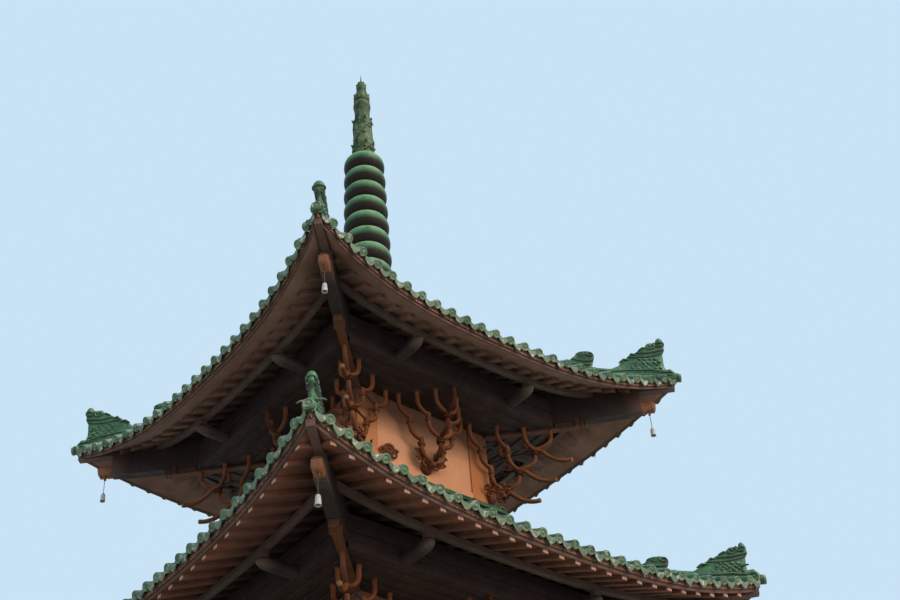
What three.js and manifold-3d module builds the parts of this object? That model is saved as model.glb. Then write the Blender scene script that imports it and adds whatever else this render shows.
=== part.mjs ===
// Square three-storey pagoda with green tiled roofs, curved bracket arms, wind bells and a ringed spire.
// Millimetres, +Z up, origin at the centre of the base. The entrance faces -Y.

import * as THREE from "three";
import { mergeVertices } from "three/addons/utils/BufferGeometryUtils.js";
import Module from "manifold-3d";

const wasm = await Module();
wasm.setup();

// Driving dimensions
const SEAT_GAP = 0.3;
const PLINTH_HEIGHT = 600;
const PLINTH_HALF = 2700;
const COPING_TALL = 90;
const COPING_PROUD = 60;
const STEP_COUNT = 3;
const STEP_TALL = 150;
const STEP_GOING = 290;
const STEPS_HALF = 900;
const WALL_THICKNESS = 220;
const PILASTER_WIDTH = 325;
const PILASTER_PROUD = 22;
const RING_BEAM_TALL = 240;
const SILL_TALL = 160;
const DOOR_WIDTH = 1100;
const DOOR_HEIGHT = 2150;
const DOOR_FRAME = 110;
const DOOR_FRAME_PROUD = 60;
const CUT_MARGIN = 10;

// One entry for each storey, from the ground up
const STOREYS = [
  { eave: 5040, corner: 3920, rise: 455, flare: 130, wall: 1780 },
  { eave: 8340, corner: 3557, rise: 457, flare: 130, wall: 1440 },
  { eave: 11640, corner: 3187, rise: 475, flare: 292, wall: 1100 },
];
const RISE_POWER = 2.88;
const FLARE_POWER = 2.5;

// Roof shells, measured from the cap line at the middle of each eave
const TILE_BED_TOP = -45;
const TILE_BED_THICK = 95;
const ROOF_STEPS = [-1, -0.86, -0.7, -0.5, -0.26, 0, 0.26, 0.5, 0.7, 0.86];
const ROOF_RUNS = [0, 0.18, 0.42, 0.7, 1];
const LOWER_ROOF_RISE = 1600;
const TOP_ROOF_RISE = 2200;
const TOP_ROOF_HALF = 330;
const ROOF_START_SHARE = 0.55;

// Eave deck under the tiles: it backs the tile bed near the eave and then runs flatter to the wall
const DECK_INSET = 95;
const DECK_RUNS = [0, 0.12, 0.5, 1];
const DECK_BITE = 12;
const DECK_THICK = 110;
const DECK_SLOPE = 0.4;
const WALL_TOP_LEVEL = 660;

// Bracket lattice: nodes step out and up from a foot on the wall
const BRACKET_STEP = 180;
const BRACKET_LEVELS = [-1060, -760, -460, -170];
const MIDDLE_REACH = 175;
const CORNER_REACH = 140;
const BRACKET_LAP = 20;
const ARM_THICK = 90;
const FAN_HALF = 60;
const FAN_STEP_SHARE = 0.7;
const FOOT_DROP = 60;
const NODE_DROP = 40;
const NODE_TALL = 110;

// Outline of the horn on a corner's hip: distance out from its node along the hip and height over it
const HORN = [[0, 30], [280, -165], [520, -190], [520, -265], [260, -260], [0, -60]];

// Ceiling and stacked purlins on the brackets, and the cantilever beams over them
const CEILING_LEVEL = -160;
const CEILING_THICK = 110;
const PURLIN_WIDE = 110;
const STACK_TALL = 460;
const OUTER_PURLIN_INSET = 920;
const OUTER_PURLIN_TALL = 120;
const BEAM_LEVEL = -80;
const BEAM_WIDE = 150;
const BEAM_DEEP = 140;
const BEAM_HEAD_INSET = 820;

// Ridges and their ornaments
const RIDGE_WIDE = 120;
const RIDGE_HEIGHT = 190;
const RIDGE_START = 90;
const RIDGE_SINK = 60;
const RING_RIDGE_HEIGHT = 390;
const RING_RIDGE_WIDE = 170;
const FIN_THICK = 110;
const TOP_COLLAR_HEIGHT = 200;
const TOP_COLLAR_WIDE = 90;

// Outlines of the two ornaments on each hip: distance in from the roof corner and height over the hip
const CORNER_FIN = [
  [800, 20], [100, 20], [100, 110], [159, 246], [154, 475], [131, 540], [113, 671], [120, 760], [155, 779],
  [197, 723], [234, 736], [291, 679], [367, 562], [478, 476], [569, 319], [682, 191], [800, 120],
];
const SMALL_FIN = [
  [1200, 20], [870, 20], [892, 224], [860, 334], [849, 430], [890, 483], [950, 425], [986, 447], [1027, 413],
  [1086, 304], [1200, 200],
];

// Corner beams and the wind bells that hang from their heads
const HEAD_INSET = 322;
const HEAD_BOTTOM = -70;
const CORNER_BEAM_WIDE = 150;
const CORNER_BEAM_BASE = -190;
const CORNER_BEAM_BEND = 1030;
const CORNER_BEAM_STEP = 90;
const HEAD_LONG = 330;
const BELL_INSET = 397;
const PIN_DROP = 28;
const PIN_RADIUS = 6;
const EYE_BORE = 8;
const EYE_RADIUS = 17;
const EYE_WIDE = 14;
const LUG_GAP = 5;
const LUG_THICK = 8;
const LUG_HALF = 15;
const WIRE_RADIUS = 6;
const BELL_DROP = 265;
const BELL_HEIGHT = 130;
const BELL_RADIUS = 39;
const BELL_WALL = 7;

// Spire
const RING_COUNT = 9;
const RING_PITCH = 342;
const LOWEST_RING = 2844;
const RING_RADIUS_LOW = 400;
const RING_RADIUS_HIGH = 342;
const RING_GROOVE = 75;
const RING_SHOULDER = 16;
const SPIRE_SEGMENTS = 16;
const SPIRE_PLUG_SUNK = 260;
const SPIRE_COLLAR_PROUD = 60;
const SPIRE_COLLAR_TALL = 80;

// Outlines of the shaft and the crown: radius and height over the top eave
const SPIRE_SHAFT = [
  [185, 5960], [212, 6080], [178, 6120], [174, 6400], [158, 6600], [180, 6700], [136, 6745], [132, 6900],
  [150, 7040], [148, 7100], [136, 7170], [132, 7320], [118, 7378],
];
const SPIRE_CROWN = [[76, 7450], [85, 7560], [85, 7660], [30, 7690], [18, 7770], [10, 7790], [10, 7940]];

const colours = {
  stone: new THREE.MeshStandardMaterial({ color: 0x9a958a, roughness: 0.9, metalness: 0 }),
  plaster: new THREE.MeshStandardMaterial({ color: 0xd98b6a, roughness: 0.85, metalness: 0 }),
  orange: new THREE.MeshStandardMaterial({ color: 0xb5622f, roughness: 0.7, metalness: 0 }),
  arms: new THREE.MeshStandardMaterial({ color: 0x8a4a30, roughness: 0.65, metalness: 0 }),
  boards: new THREE.MeshStandardMaterial({ color: 0x5a3226, roughness: 0.75, metalness: 0 }),
  glaze: new THREE.MeshStandardMaterial({ color: 0x3f7a55, roughness: 0.35, metalness: 0 }),
  spire: new THREE.MeshStandardMaterial({ color: 0x2f6b48, roughness: 0.4, metalness: 0 }),
  bell: new THREE.MeshStandardMaterial({ color: 0xb9b4ac, roughness: 0.5, metalness: 0.6 }),
};

const group = new THREE.Group();

// Solid helpers
function toSolid(geometry) {
  const plain = geometry.clone();
  plain.deleteAttribute("normal");
  plain.deleteAttribute("uv");
  const merged = mergeVertices(plain, 1e-3);
  const mesh = new wasm.Mesh({
    numProp: 3,
    vertProperties: new Float32Array(merged.attributes.position.array),
    triVerts: new Uint32Array(merged.index.array),
  });
  mesh.merge();
  return new wasm.Manifold(mesh);
}

function toGeometry(solid) {
  const mesh = solid.getMesh();
  const geometry = new THREE.BufferGeometry();
  geometry.setAttribute("position", new THREE.BufferAttribute(new Float32Array(mesh.vertProperties), 3));
  geometry.setIndex(new THREE.BufferAttribute(new Uint32Array(mesh.triVerts), 1));
  geometry.computeVertexNormals();
  return geometry;
}

function joined(geometries) {
  let solid = toSolid(geometries[0]);
  for (const geometry of geometries.slice(1)) {
    solid = solid.add(toSolid(geometry));
  }
  return toGeometry(solid);
}

function cut(geometry, cutters) {
  let solid = toSolid(geometry);
  for (const cutter of cutters) {
    solid = solid.subtract(toSolid(cutter));
  }
  return toGeometry(solid);
}

// Box between stated coordinates, written exactly so that boxes that share a face agree on it
function block(x0, x1, y0, y1, z0, z1) {
  const geometry = new THREE.BoxGeometry(1, 1, 1);
  const position = geometry.attributes.position;
  for (let index = 0; index < position.count; index += 1) {
    const x = position.getX(index) < 0 ? x0 : x1;
    const y = position.getY(index) < 0 ? y0 : y1;
    const z = position.getZ(index) < 0 ? z0 : z1;
    position.setXYZ(index, x, y, z);
  }
  return geometry;
}

// Quarter turns about the tower's middle line, with whole-number entries so that turned faces stay exact
function quarterTurn(quarter) {
  const cos = [1, 0, -1, 0][quarter];
  const sin = [0, 1, 0, -1][quarter];
  return new THREE.Matrix4().set(cos, -sin, 0, 0, sin, cos, 0, 0, 0, 0, 1, 0, 0, 0, 0, 1);
}

function turned(geometry, quarter) {
  return geometry.clone().applyMatrix4(quarterTurn(quarter));
}

function aroundTower(geometries) {
  const all = [];
  for (let quarter = 0; quarter < 4; quarter += 1) {
    for (const geometry of geometries) {
      all.push(turned(geometry, quarter));
    }
  }
  return all;
}

// Places a piece that was built along +X onto the hip between the sides facing -Y and +X
function ontoHip(geometry) {
  return geometry.rotateZ(-Math.PI / 4);
}

function lathe(outline, segments) {
  const points = outline.map(([radius, height]) => new THREE.Vector2(radius, height));
  const geometry = new THREE.LatheGeometry(points, segments);
  return geometry.rotateX(Math.PI / 2);
}

function squareRing(outerHalf, innerHalf, z0, z1) {
  const outer = block(-outerHalf, outerHalf, -outerHalf, outerHalf, z0, z1);
  const inner = block(-innerHalf, innerHalf, -innerHalf, innerHalf, z0 - CUT_MARGIN, z1 + CUT_MARGIN);
  return cut(outer, [inner]);
}

function addPart(name, geometry, material) {
  const mesh = new THREE.Mesh(geometry, material);
  mesh.name = name;
  group.add(mesh);
}

// Eave line of one side, facing -Y: share runs from -1 at the left corner to 1 at the right one
function eavePoint(storey, share) {
  const inset = storey.flare * (1 - Math.abs(share) ** FLARE_POWER);
  const height = storey.rise * Math.abs(share) ** RISE_POWER;
  return new THREE.Vector3(share * storey.corner, inset - storey.corner, height);
}

// Closed square shell between a top surface and a bottom surface, both given for the side facing -Y
function squareShell(topAt, bottomAt, shares, runs) {
  const columns = 4 * shares.length;
  const rows = runs.length;
  const positions = [];
  for (const surface of [topAt, bottomAt]) {
    for (let quarter = 0; quarter < 4; quarter += 1) {
      for (const share of shares) {
        for (const run of runs) {
          const point = surface(share, run).applyMatrix4(quarterTurn(quarter));
          positions.push(point.x, point.y, point.z);
        }
      }
    }
  }
  const indices = [];
  const bottomStart = columns * rows;
  function quad(a, b, c, d) {
    indices.push(a, b, c, a, c, d);
  }
  for (let column = 0; column < columns; column += 1) {
    const here = column * rows;
    const next = ((column + 1) % columns) * rows;
    for (let row = 0; row < rows - 1; row += 1) {
      quad(here + row, next + row, next + row + 1, here + row + 1);
      quad(
        bottomStart + here + row,
        bottomStart + here + row + 1,
        bottomStart + next + row + 1,
        bottomStart + next + row,
      );
    }
    quad(here, bottomStart + here, bottomStart + next, next);
    quad(here + rows - 1, next + rows - 1, bottomStart + next + rows - 1, bottomStart + here + rows - 1);
  }
  const geometry = new THREE.BufferGeometry();
  geometry.setAttribute("position", new THREE.BufferAttribute(new Float32Array(positions), 3));
  geometry.setIndex(indices);
  geometry.computeVertexNormals();
  return geometry;
}

// Top surface of the tile bed: run is 0 at the eave and 1 where the roof ends
function roofPoint(storey, share, run) {
  const edge = eavePoint(storey, share);
  const x = edge.x * (1 - run) + share * storey.roofHalf * run;
  const y = edge.y * (1 - run) - storey.roofHalf * run;
  const climb = storey.roofRise * (ROOF_START_SHARE * run + (1 - ROOF_START_SHARE) * run * run);
  const z = storey.eave + TILE_BED_TOP + edge.z * (1 - run) ** 2 + climb;
  return new THREE.Vector3(x, y, z);
}

// Top of the underside deck: run is 0 at the eave board and 1 at the wall
function deckPoint(storey, share, run) {
  const span = storey.corner - storey.roofHalf;
  const eaveReach = -eavePoint(storey, share).y;
  const first = DECK_INSET / span;
  const last = (eaveReach - storey.wall - SEAT_GAP) / (eaveReach - storey.roofHalf);
  const roofRun = first + (last - first) * run;
  const backing = first + (last - first) * Math.min(run, DECK_RUNS[1]);
  const point = roofPoint(storey, share, roofRun);
  const lift = eavePoint(storey, share).z * ((1 - roofRun) ** 2 - (1 - backing) ** 2);
  const climb = DECK_SLOPE * (roofRun - backing) * span;
  point.z = roofPoint(storey, share, backing).z + lift + climb - TILE_BED_THICK + DECK_BITE;
  return point;
}

// Underside deck of one storey, cut to the underside of the tile bed that rests on it
function eaveDeck(storey) {
  const deck = squareShell(
    (share, run) => deckPoint(storey, share, run),
    (share, run) => deckPoint(storey, share, run).add(new THREE.Vector3(0, 0, -DECK_THICK)),
    ROOF_STEPS,
    DECK_RUNS,
  );
  const bed = toSolid(storey.roofGeometry.clone().translate(0, 0, -SEAT_GAP));
  return toGeometry(toSolid(deck).subtract(bed));
}

STOREYS.forEach((storey, index) => {
  storey.number = index + 1;
  const top = index === STOREYS.length - 1;
  storey.roofHalf = top ? TOP_ROOF_HALF : STOREYS[index + 1].wall + PILASTER_PROUD + SEAT_GAP;
  storey.roofRise = top ? TOP_ROOF_RISE : LOWER_ROOF_RISE;
  storey.wallTop = storey.eave + WALL_TOP_LEVEL;
  storey.skirtTop = storey.eave + TILE_BED_TOP + storey.roofRise + RING_RIDGE_HEIGHT + SEAT_GAP;
  storey.wallBase = index === 0 ? PLINTH_HEIGHT : STOREYS[index - 1].wallTop;
});

// Stone plinth with steps up to the doorway
function plinth() {
  const copingBase = PLINTH_HEIGHT - COPING_TALL;
  const base = block(-PLINTH_HALF, PLINTH_HALF, -PLINTH_HALF, PLINTH_HALF, 0, copingBase);
  const slab = PLINTH_HALF + COPING_PROUD;
  const coping = block(-slab, slab, -slab, slab, copingBase, PLINTH_HEIGHT);
  const steps = [];
  for (let step = 1; step <= STEP_COUNT; step += 1) {
    const reach = slab + (STEP_COUNT + 1 - step) * STEP_GOING;
    steps.push(block(-STEPS_HALF, STEPS_HALF, -reach, CUT_MARGIN - PLINTH_HALF, 0, step * STEP_TALL));
  }
  return joined([base, coping, ...steps]);
}
addPart("plinth", plinth(), colours.stone);

// Walls: a hollow square tower, stepped in at each storey on a ring beam
function wallTube(storey) {
  const outer = storey.wall;
  const inner = outer - WALL_THICKNESS;
  const base = storey.wallBase + SEAT_GAP;
  const tube = squareRing(outer, inner, base, storey.wallTop);
  if (storey.number === STOREYS.length) {
    return tube;
  }
  const beamInner = STOREYS[storey.number].wall - WALL_THICKNESS;
  const beam = squareRing(outer, beamInner, storey.wallTop - RING_BEAM_TALL, storey.wallTop);
  if (storey.number > 1) {
    return joined([tube, beam]);
  }
  const doorHalf = DOOR_WIDTH / 2;
  const doorway = block(
    -doorHalf, doorHalf, -outer - CUT_MARGIN, CUT_MARGIN - inner, base - CUT_MARGIN, base + DOOR_HEIGHT,
  );
  return cut(joined([tube, beam]), [doorway]);
}

// Corner pilasters of one storey, joined by a sill band at the foot of the wall
function pilasters(storey) {
  const outer = storey.wall + PILASTER_PROUD;
  const inner = storey.wall + SEAT_GAP;
  const start = storey.wall + PILASTER_PROUD - PILASTER_WIDTH;
  const base = storey.number === 1 ? PLINTH_HEIGHT + SEAT_GAP : STOREYS[storey.number - 2].skirtTop;
  const band = squareRing(outer, inner, base, base + SILL_TALL);
  const top = deckPoint(storey, 0, 1).z - DECK_THICK - SEAT_GAP;
  const corner = [
    block(start, outer, -outer, -inner, base, top),
    block(-outer, -start, -outer, -inner, base, top),
  ];
  const solid = joined([band, ...aroundTower(corner)]);
  if (storey.number > 1) {
    return solid;
  }
  const doorHalf = DOOR_WIDTH / 2 + DOOR_FRAME + SEAT_GAP;
  const gap = block(
    -doorHalf, doorHalf, -outer - CUT_MARGIN, CUT_MARGIN - inner, base - CUT_MARGIN, base + SILL_TALL + CUT_MARGIN,
  );
  return cut(solid, [gap]);
}

// Door surround around the open doorway
function doorSurround(storey) {
  const half = DOOR_WIDTH / 2;
  const face = storey.wall + DOOR_FRAME_PROUD;
  const base = PLINTH_HEIGHT + SEAT_GAP;
  const top = base + DOOR_HEIGHT;
  const outer = block(
    -half - DOOR_FRAME, half + DOOR_FRAME, -face, -storey.wall - SEAT_GAP, base, top + DOOR_FRAME,
  );
  const clear = block(-half, half, -face - CUT_MARGIN, CUT_MARGIN - storey.wall, base - CUT_MARGIN, top);
  return cut(outer, [clear]);
}

// Upright plate cut to an outline of [across, height] points, ARM_THICK deep; it stands in the XZ plane
function armPlate(outline) {
  const shape = new THREE.Shape(outline.map(([across, height]) => new THREE.Vector2(across, height)));
  const plate = new THREE.ExtrudeGeometry(shape, { depth: ARM_THICK, bevelEnabled: false });
  plate.translate(0, 0, -ARM_THICK / 2);
  return plate.rotateX(Math.PI / 2);
}

// Stepped edge of a bracket fan: it widens by one step at each level above its first
function fanEdge(levels, narrow, top) {
  const edge = [[narrow, levels[0] - FOOT_DROP]];
  for (let tier = 1; tier < levels.length; tier += 1) {
    const out = tier * BRACKET_STEP + narrow * FAN_STEP_SHARE;
    const last = tier === levels.length - 1;
    edge.push([out, levels[tier] - NODE_DROP]);
    edge.push([out, last ? top : levels[tier] + NODE_TALL]);
  }
  return edge;
}

function bracketLevels(storey) {
  return BRACKET_LEVELS.map((level) => storey.eave + level);
}

// Bracket set in the middle of one side, built for the side facing -Y
function middleBracket(storey) {
  const levels = bracketLevels(storey);
  const top = levels[3] + BRACKET_LAP;
  const face = storey.wall + SEAT_GAP;
  const pieces = [];
  for (let steps = 0; steps < 3; steps += 1) {
    const edge = fanEdge(levels.slice(steps), FAN_HALF, top);
    const mirrored = edge.map(([across, height]) => [-across, height]).reverse();
    const plate = armPlate([...edge, ...mirrored]);
    plate.translate(0, -storey.wall - MIDDLE_REACH - steps * BRACKET_STEP, 0);
    pieces.push(plate);
  }
  const outer = fanEdge(levels, FAN_HALF, top).map(([across, height]) => [across + MIDDLE_REACH, height]);
  const outward = armPlate([...outer, [0, top], [0, levels[0] - FOOT_DROP]]);
  outward.rotateZ(-Math.PI / 2);
  outward.translate(0, -face, 0);
  pieces.push(outward);
  return pieces;
}

// Bracket set at the corner between the sides facing -Y and +X
function cornerBracket(storey) {
  const levels = bracketLevels(storey);
  const face = storey.wall + PILASTER_PROUD + SEAT_GAP;
  const pieces = [];
  for (let tier = 0; tier < 3; tier += 1) {
    const reach = storey.wall + CORNER_REACH + tier * BRACKET_STEP;
    const back = face - (tier + 1) * BRACKET_STEP;
    const level = levels[tier];
    const next = levels[tier + 1] + BRACKET_LAP;
    const outline = [
      [reach - ARM_THICK / 2, level - NODE_DROP],
      [reach + ARM_THICK / 2, level - NODE_DROP],
      [reach + ARM_THICK / 2, next],
      [back, next],
    ];
    const alongX = armPlate(outline).translate(0, -reach, 0);
    const alongY = armPlate(outline.map(([across, height]) => [-across, height]).reverse());
    alongY.rotateZ(Math.PI / 2).translate(reach, 0, 0);
    const horn = armPlate(HORN.map(([across, height]) => [reach * Math.SQRT2 + across, level + height]).reverse());
    pieces.push(alongX, alongY, ontoHip(horn));
  }
  const inner = face * Math.SQRT2;
  const top = levels[3] + BRACKET_LAP;
  const diagonal = fanEdge(levels, CORNER_REACH, top).map(([across, height]) => [inner + across * Math.SQRT2, height]);
  const hip = armPlate([...diagonal, [inner, top], [inner, levels[0] - FOOT_DROP]]);
  pieces.push(ontoHip(hip));
  return pieces;
}

// Ceiling round the wall under the stacked purlins, notched where the pilasters rise through it
function ceiling(storey) {
  const base = storey.eave + CEILING_LEVEL;
  const reach = storey.wall + MIDDLE_REACH + 3 * BRACKET_STEP;
  const stack = squareRing(reach + PURLIN_WIDE / 2, reach - PURLIN_WIDE / 2, base, base + STACK_TALL);
  const plate = squareRing(reach, storey.wall + SEAT_GAP, base, base + CEILING_THICK);
  const proud = storey.wall + PILASTER_PROUD + SEAT_GAP;
  const side = proud - PILASTER_WIDTH - 2 * SEAT_GAP;
  const low = base - CUT_MARGIN;
  const high = base + CEILING_THICK + CUT_MARGIN;
  const notches = aroundTower([
    block(side, proud, -proud, CUT_MARGIN - storey.wall, low, high),
    block(-proud, -side, -proud, CUT_MARGIN - storey.wall, low, high),
  ]);
  return cut(joined([stack, plate]), notches);
}

// Outer purlin and the cantilever beams that carry the eave
function eaveTimbers(storey) {
  const outer = storey.corner - OUTER_PURLIN_INSET;
  const beamX = storey.wall + PILASTER_PROUD - PILASTER_WIDTH / 2;
  const beamZ = storey.eave + BEAM_LEVEL;
  const outerBase = beamZ + BEAM_DEEP / 2 - CUT_MARGIN;
  const outerRing = squareRing(outer + PURLIN_WIDE / 2, outer - PURLIN_WIDE / 2, outerBase, outerBase + OUTER_PURLIN_TALL);
  const head = -(storey.corner - BEAM_HEAD_INSET);
  const start = -storey.wall - PILASTER_PROUD - SEAT_GAP;
  const beams = [-beamX, beamX].map((x) => (
    block(x - BEAM_WIDE / 2, x + BEAM_WIDE / 2, head, start, beamZ - BEAM_DEEP / 2, beamZ + BEAM_DEEP / 2)
  ));
  return [ceiling(storey), outerRing, ...aroundTower(beams)];
}

// Corner beam along one hip, out to the head that carries a wind bell; its top backs the deck
function cornerBeam(storey) {
  const start = storey.wall + PILASTER_PROUD + SEAT_GAP;
  const bend = storey.corner - CORNER_BEAM_BEND;
  const end = storey.corner - HEAD_INSET;
  const span = storey.corner - storey.wall - DECK_INSET;
  const topAt = (reach) => {
    const run = Math.min((storey.corner - DECK_INSET - reach) / span, 1);
    return deckPoint(storey, 1, run).z - DECK_THICK - 5;
  };
  const profile = new THREE.Shape([
    new THREE.Vector2(start * Math.SQRT2, storey.eave + CORNER_BEAM_BASE),
    new THREE.Vector2(bend * Math.SQRT2, storey.eave + CORNER_BEAM_BASE),
    new THREE.Vector2(bend * Math.SQRT2, storey.eave + CORNER_BEAM_BASE + CORNER_BEAM_STEP),
    new THREE.Vector2(end * Math.SQRT2 - HEAD_LONG, storey.eave + HEAD_BOTTOM),
    new THREE.Vector2(end * Math.SQRT2, storey.eave + HEAD_BOTTOM),
    new THREE.Vector2(end * Math.SQRT2, topAt(end)),
    new THREE.Vector2(bend * Math.SQRT2, topAt(bend)),
    new THREE.Vector2(start * Math.SQRT2, topAt(start)),
  ]);
  const beam = new THREE.ExtrudeGeometry(profile, { depth: CORNER_BEAM_WIDE, bevelEnabled: false });
  beam.translate(0, 0, -CORNER_BEAM_WIDE / 2);
  beam.rotateX(Math.PI / 2);
  return ontoHip(beam);
}

// Two lugs and a pin under the head of a corner beam
function bellHanger(storey) {
  const reach = (storey.corner - BELL_INSET) * Math.SQRT2;
  const head = storey.eave + HEAD_BOTTOM;
  const inner = EYE_WIDE / 2 + LUG_GAP;
  const outer = inner + LUG_THICK;
  const lugLow = head - PIN_DROP - LUG_HALF;
  const pieces = [];
  for (const side of [-1, 1]) {
    const low = Math.min(side * inner, side * outer);
    const high = Math.max(side * inner, side * outer);
    pieces.push(block(reach - LUG_HALF, reach + LUG_HALF, low, high, lugLow, head + CUT_MARGIN));
  }
  const pin = new THREE.CylinderGeometry(PIN_RADIUS, PIN_RADIUS, 2 * outer, 6);
  pin.translate(reach, 0, head - PIN_DROP);
  pieces.push(pin);
  return pieces.map((piece) => ontoHip(piece));
}

// Wind bell on its wire: an eye on the pin, the wire, and the hollow bell
function windBell(storey) {
  const reach = (storey.corner - BELL_INSET) * Math.SQRT2;
  const eyeZ = storey.eave + HEAD_BOTTOM - PIN_DROP - (EYE_BORE - PIN_RADIUS - SEAT_GAP);
  const eye = new THREE.CylinderGeometry(EYE_RADIUS, EYE_RADIUS, EYE_WIDE, 8);
  eye.translate(reach, 0, eyeZ);
  const bore = new THREE.CylinderGeometry(EYE_BORE * 1.09, EYE_BORE * 1.09, EYE_WIDE + 4, 8);
  bore.translate(reach, 0, eyeZ);
  const top = storey.eave + HEAD_BOTTOM - BELL_DROP;
  const low = top - BELL_HEIGHT;
  const shoulder = top - BELL_HEIGHT * 0.4;
  const wireTop = eyeZ - EYE_BORE - 3;
  const inner = BELL_RADIUS - BELL_WALL;
  const body = lathe([
    [0, wireTop],
    [WIRE_RADIUS, wireTop],
    [WIRE_RADIUS, top],
    [BELL_RADIUS * 0.6, top - BELL_WALL],
    [BELL_RADIUS * 0.82, shoulder],
    [BELL_RADIUS, low],
    [inner, low],
    [inner * 0.78, shoulder],
    [inner * 0.5, top - 2.5 * BELL_WALL],
    [0, top - 2.2 * BELL_WALL],
  ].reverse(), 8);
  body.translate(reach, 0, 0);
  const solid = toSolid(eye).subtract(toSolid(bore)).add(toSolid(body));
  return ontoHip(toGeometry(solid));
}

// Height of the tile bed on the hip, at a distance from the tower's middle
function hipHeight(storey, reach) {
  return roofPoint(storey, 1, (storey.corner - reach) / (storey.corner - storey.roofHalf)).z;
}

// One hip ridge, sunk into the tile bed so that it can be cut to sit on it
function hipRidge(storey) {
  const half = RIDGE_WIDE / 2;
  const across = new THREE.Vector3(half * Math.SQRT1_2, half * Math.SQRT1_2, 0);
  const positions = [];
  const corners = [[-1, -RIDGE_SINK], [1, -RIDGE_SINK], [1, RIDGE_HEIGHT], [-1, RIDGE_HEIGHT]];
  const runs = [RIDGE_START / (storey.corner - storey.roofHalf), ...ROOF_RUNS.slice(1)];
  for (const run of runs) {
    for (const [side, height] of corners) {
      const point = roofPoint(storey, 1, run).addScaledVector(across, side);
      positions.push(point.x, point.y, point.z + height);
    }
  }
  const indices = [];
  for (let index = 0; index < runs.length - 1; index += 1) {
    const here = index * 4;
    const next = here + 4;
    for (let edge = 0; edge < 4; edge += 1) {
      const other = (edge + 1) % 4;
      indices.push(here + edge, next + edge, next + other, here + edge, next + other, here + other);
    }
  }
  const last = (runs.length - 1) * 4;
  indices.push(0, 1, 2, 0, 2, 3);
  indices.push(last, last + 2, last + 1, last, last + 3, last + 2);
  const geometry = new THREE.BufferGeometry();
  geometry.setAttribute("position", new THREE.BufferAttribute(new Float32Array(positions), 3));
  geometry.setIndex(indices);
  return geometry;
}

// Upright ornament on a hip: each outline point is a distance from the roof corner and a height over the hip
function hipOrnament(storey, outline) {
  const points = outline.map(([inset, height]) => {
    const reach = storey.corner - inset;
    return new THREE.Vector2(reach * Math.SQRT2, hipHeight(storey, reach) + height);
  });
  const fin = new THREE.ExtrudeGeometry(new THREE.Shape(points), { depth: FIN_THICK, bevelEnabled: false });
  fin.translate(0, 0, -FIN_THICK / 2);
  fin.rotateX(Math.PI / 2);
  return ontoHip(fin);
}

function ridges(storey) {
  const pieces = aroundTower([hipRidge(storey), hipOrnament(storey, CORNER_FIN), hipOrnament(storey, SMALL_FIN)]);
  const half = storey.roofHalf;
  const seat = storey.eave + TILE_BED_TOP + storey.roofRise;
  if (storey.number < STOREYS.length) {
    pieces.push(squareRing(half + RING_RIDGE_WIDE, half, seat - RIDGE_SINK, seat + RING_RIDGE_HEIGHT));
  } else {
    pieces.push(squareRing(half + TOP_COLLAR_WIDE, half + SEAT_GAP, seat - RIDGE_SINK, seat + TOP_COLLAR_HEIGHT));
  }
  const bed = toSolid(storey.roofGeometry.clone().translate(0, 0, SEAT_GAP));
  return toGeometry(toSolid(joined(pieces)).subtract(bed));
}

// Spire: a stepped base with a bowl, the stack of rings, the carved shaft and the crown
const topEave = STOREYS[STOREYS.length - 1].eave;
const apex = topEave + TILE_BED_TOP + TOP_ROOF_RISE;
const ringsBase = topEave + LOWEST_RING - RING_PITCH / 2;
const ringsTop = ringsBase + RING_COUNT * RING_PITCH;

// Lathe outline from [radius, height over the top eave] points, closed on the axis at both ends
function turnedPiece(points) {
  const outline = points.map(([radius, height]) => [radius, topEave + height]);
  const lowest = outline[0][1];
  const highest = outline[outline.length - 1][1];
  return lathe([[0, lowest], ...outline, [0, highest]], SPIRE_SEGMENTS);
}

function spireBase() {
  const plug = TOP_ROOF_HALF - SEAT_GAP;
  const collar = plug + SPIRE_COLLAR_PROUD;
  const plugTop = apex + TOP_COLLAR_HEIGHT + SEAT_GAP;
  const collarTop = plugTop + SPIRE_COLLAR_TALL;
  const bowl = turnedPiece([
    [300, collarTop - topEave - CUT_MARGIN],
    [322, collarTop - topEave + 40],
    [318, collarTop - topEave + 110],
    [262, collarTop - topEave + 185],
    [190, ringsBase - topEave],
  ]);
  return joined([
    block(-plug, plug, -plug, plug, apex - SPIRE_PLUG_SUNK, plugTop),
    block(-collar, collar, -collar, collar, plugTop, collarTop),
    bowl,
  ]);
}

function spireRings() {
  const points = [];
  for (let ring = 0; ring < RING_COUNT; ring += 1) {
    const share = ring / (RING_COUNT - 1);
    const radius = RING_RADIUS_LOW + (RING_RADIUS_HIGH - RING_RADIUS_LOW) * share;
    const base = ringsBase - topEave + SEAT_GAP + ring * RING_PITCH;
    points.push([radius - RING_GROOVE, base]);
    points.push([radius - RING_SHOULDER, base + RING_PITCH * 0.22]);
    points.push([radius, base + RING_PITCH * 0.5]);
    points.push([radius - RING_SHOULDER, base + RING_PITCH * 0.78]);
  }
  points.push([RING_RADIUS_HIGH - RING_GROOVE, ringsTop - topEave]);
  return turnedPiece(points);
}

function spireShaft() {
  return turnedPiece([[SPIRE_SHAFT[0][0], ringsTop - topEave + SEAT_GAP], ...SPIRE_SHAFT]);
}

function spireCrown() {
  const seat = SPIRE_SHAFT[SPIRE_SHAFT.length - 1][1] + SEAT_GAP;
  return turnedPiece([[SPIRE_CROWN[0][0], seat], ...SPIRE_CROWN]);
}

const CORNER_NAMES = ["front_right", "back_right", "back_left", "front_left"];

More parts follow.
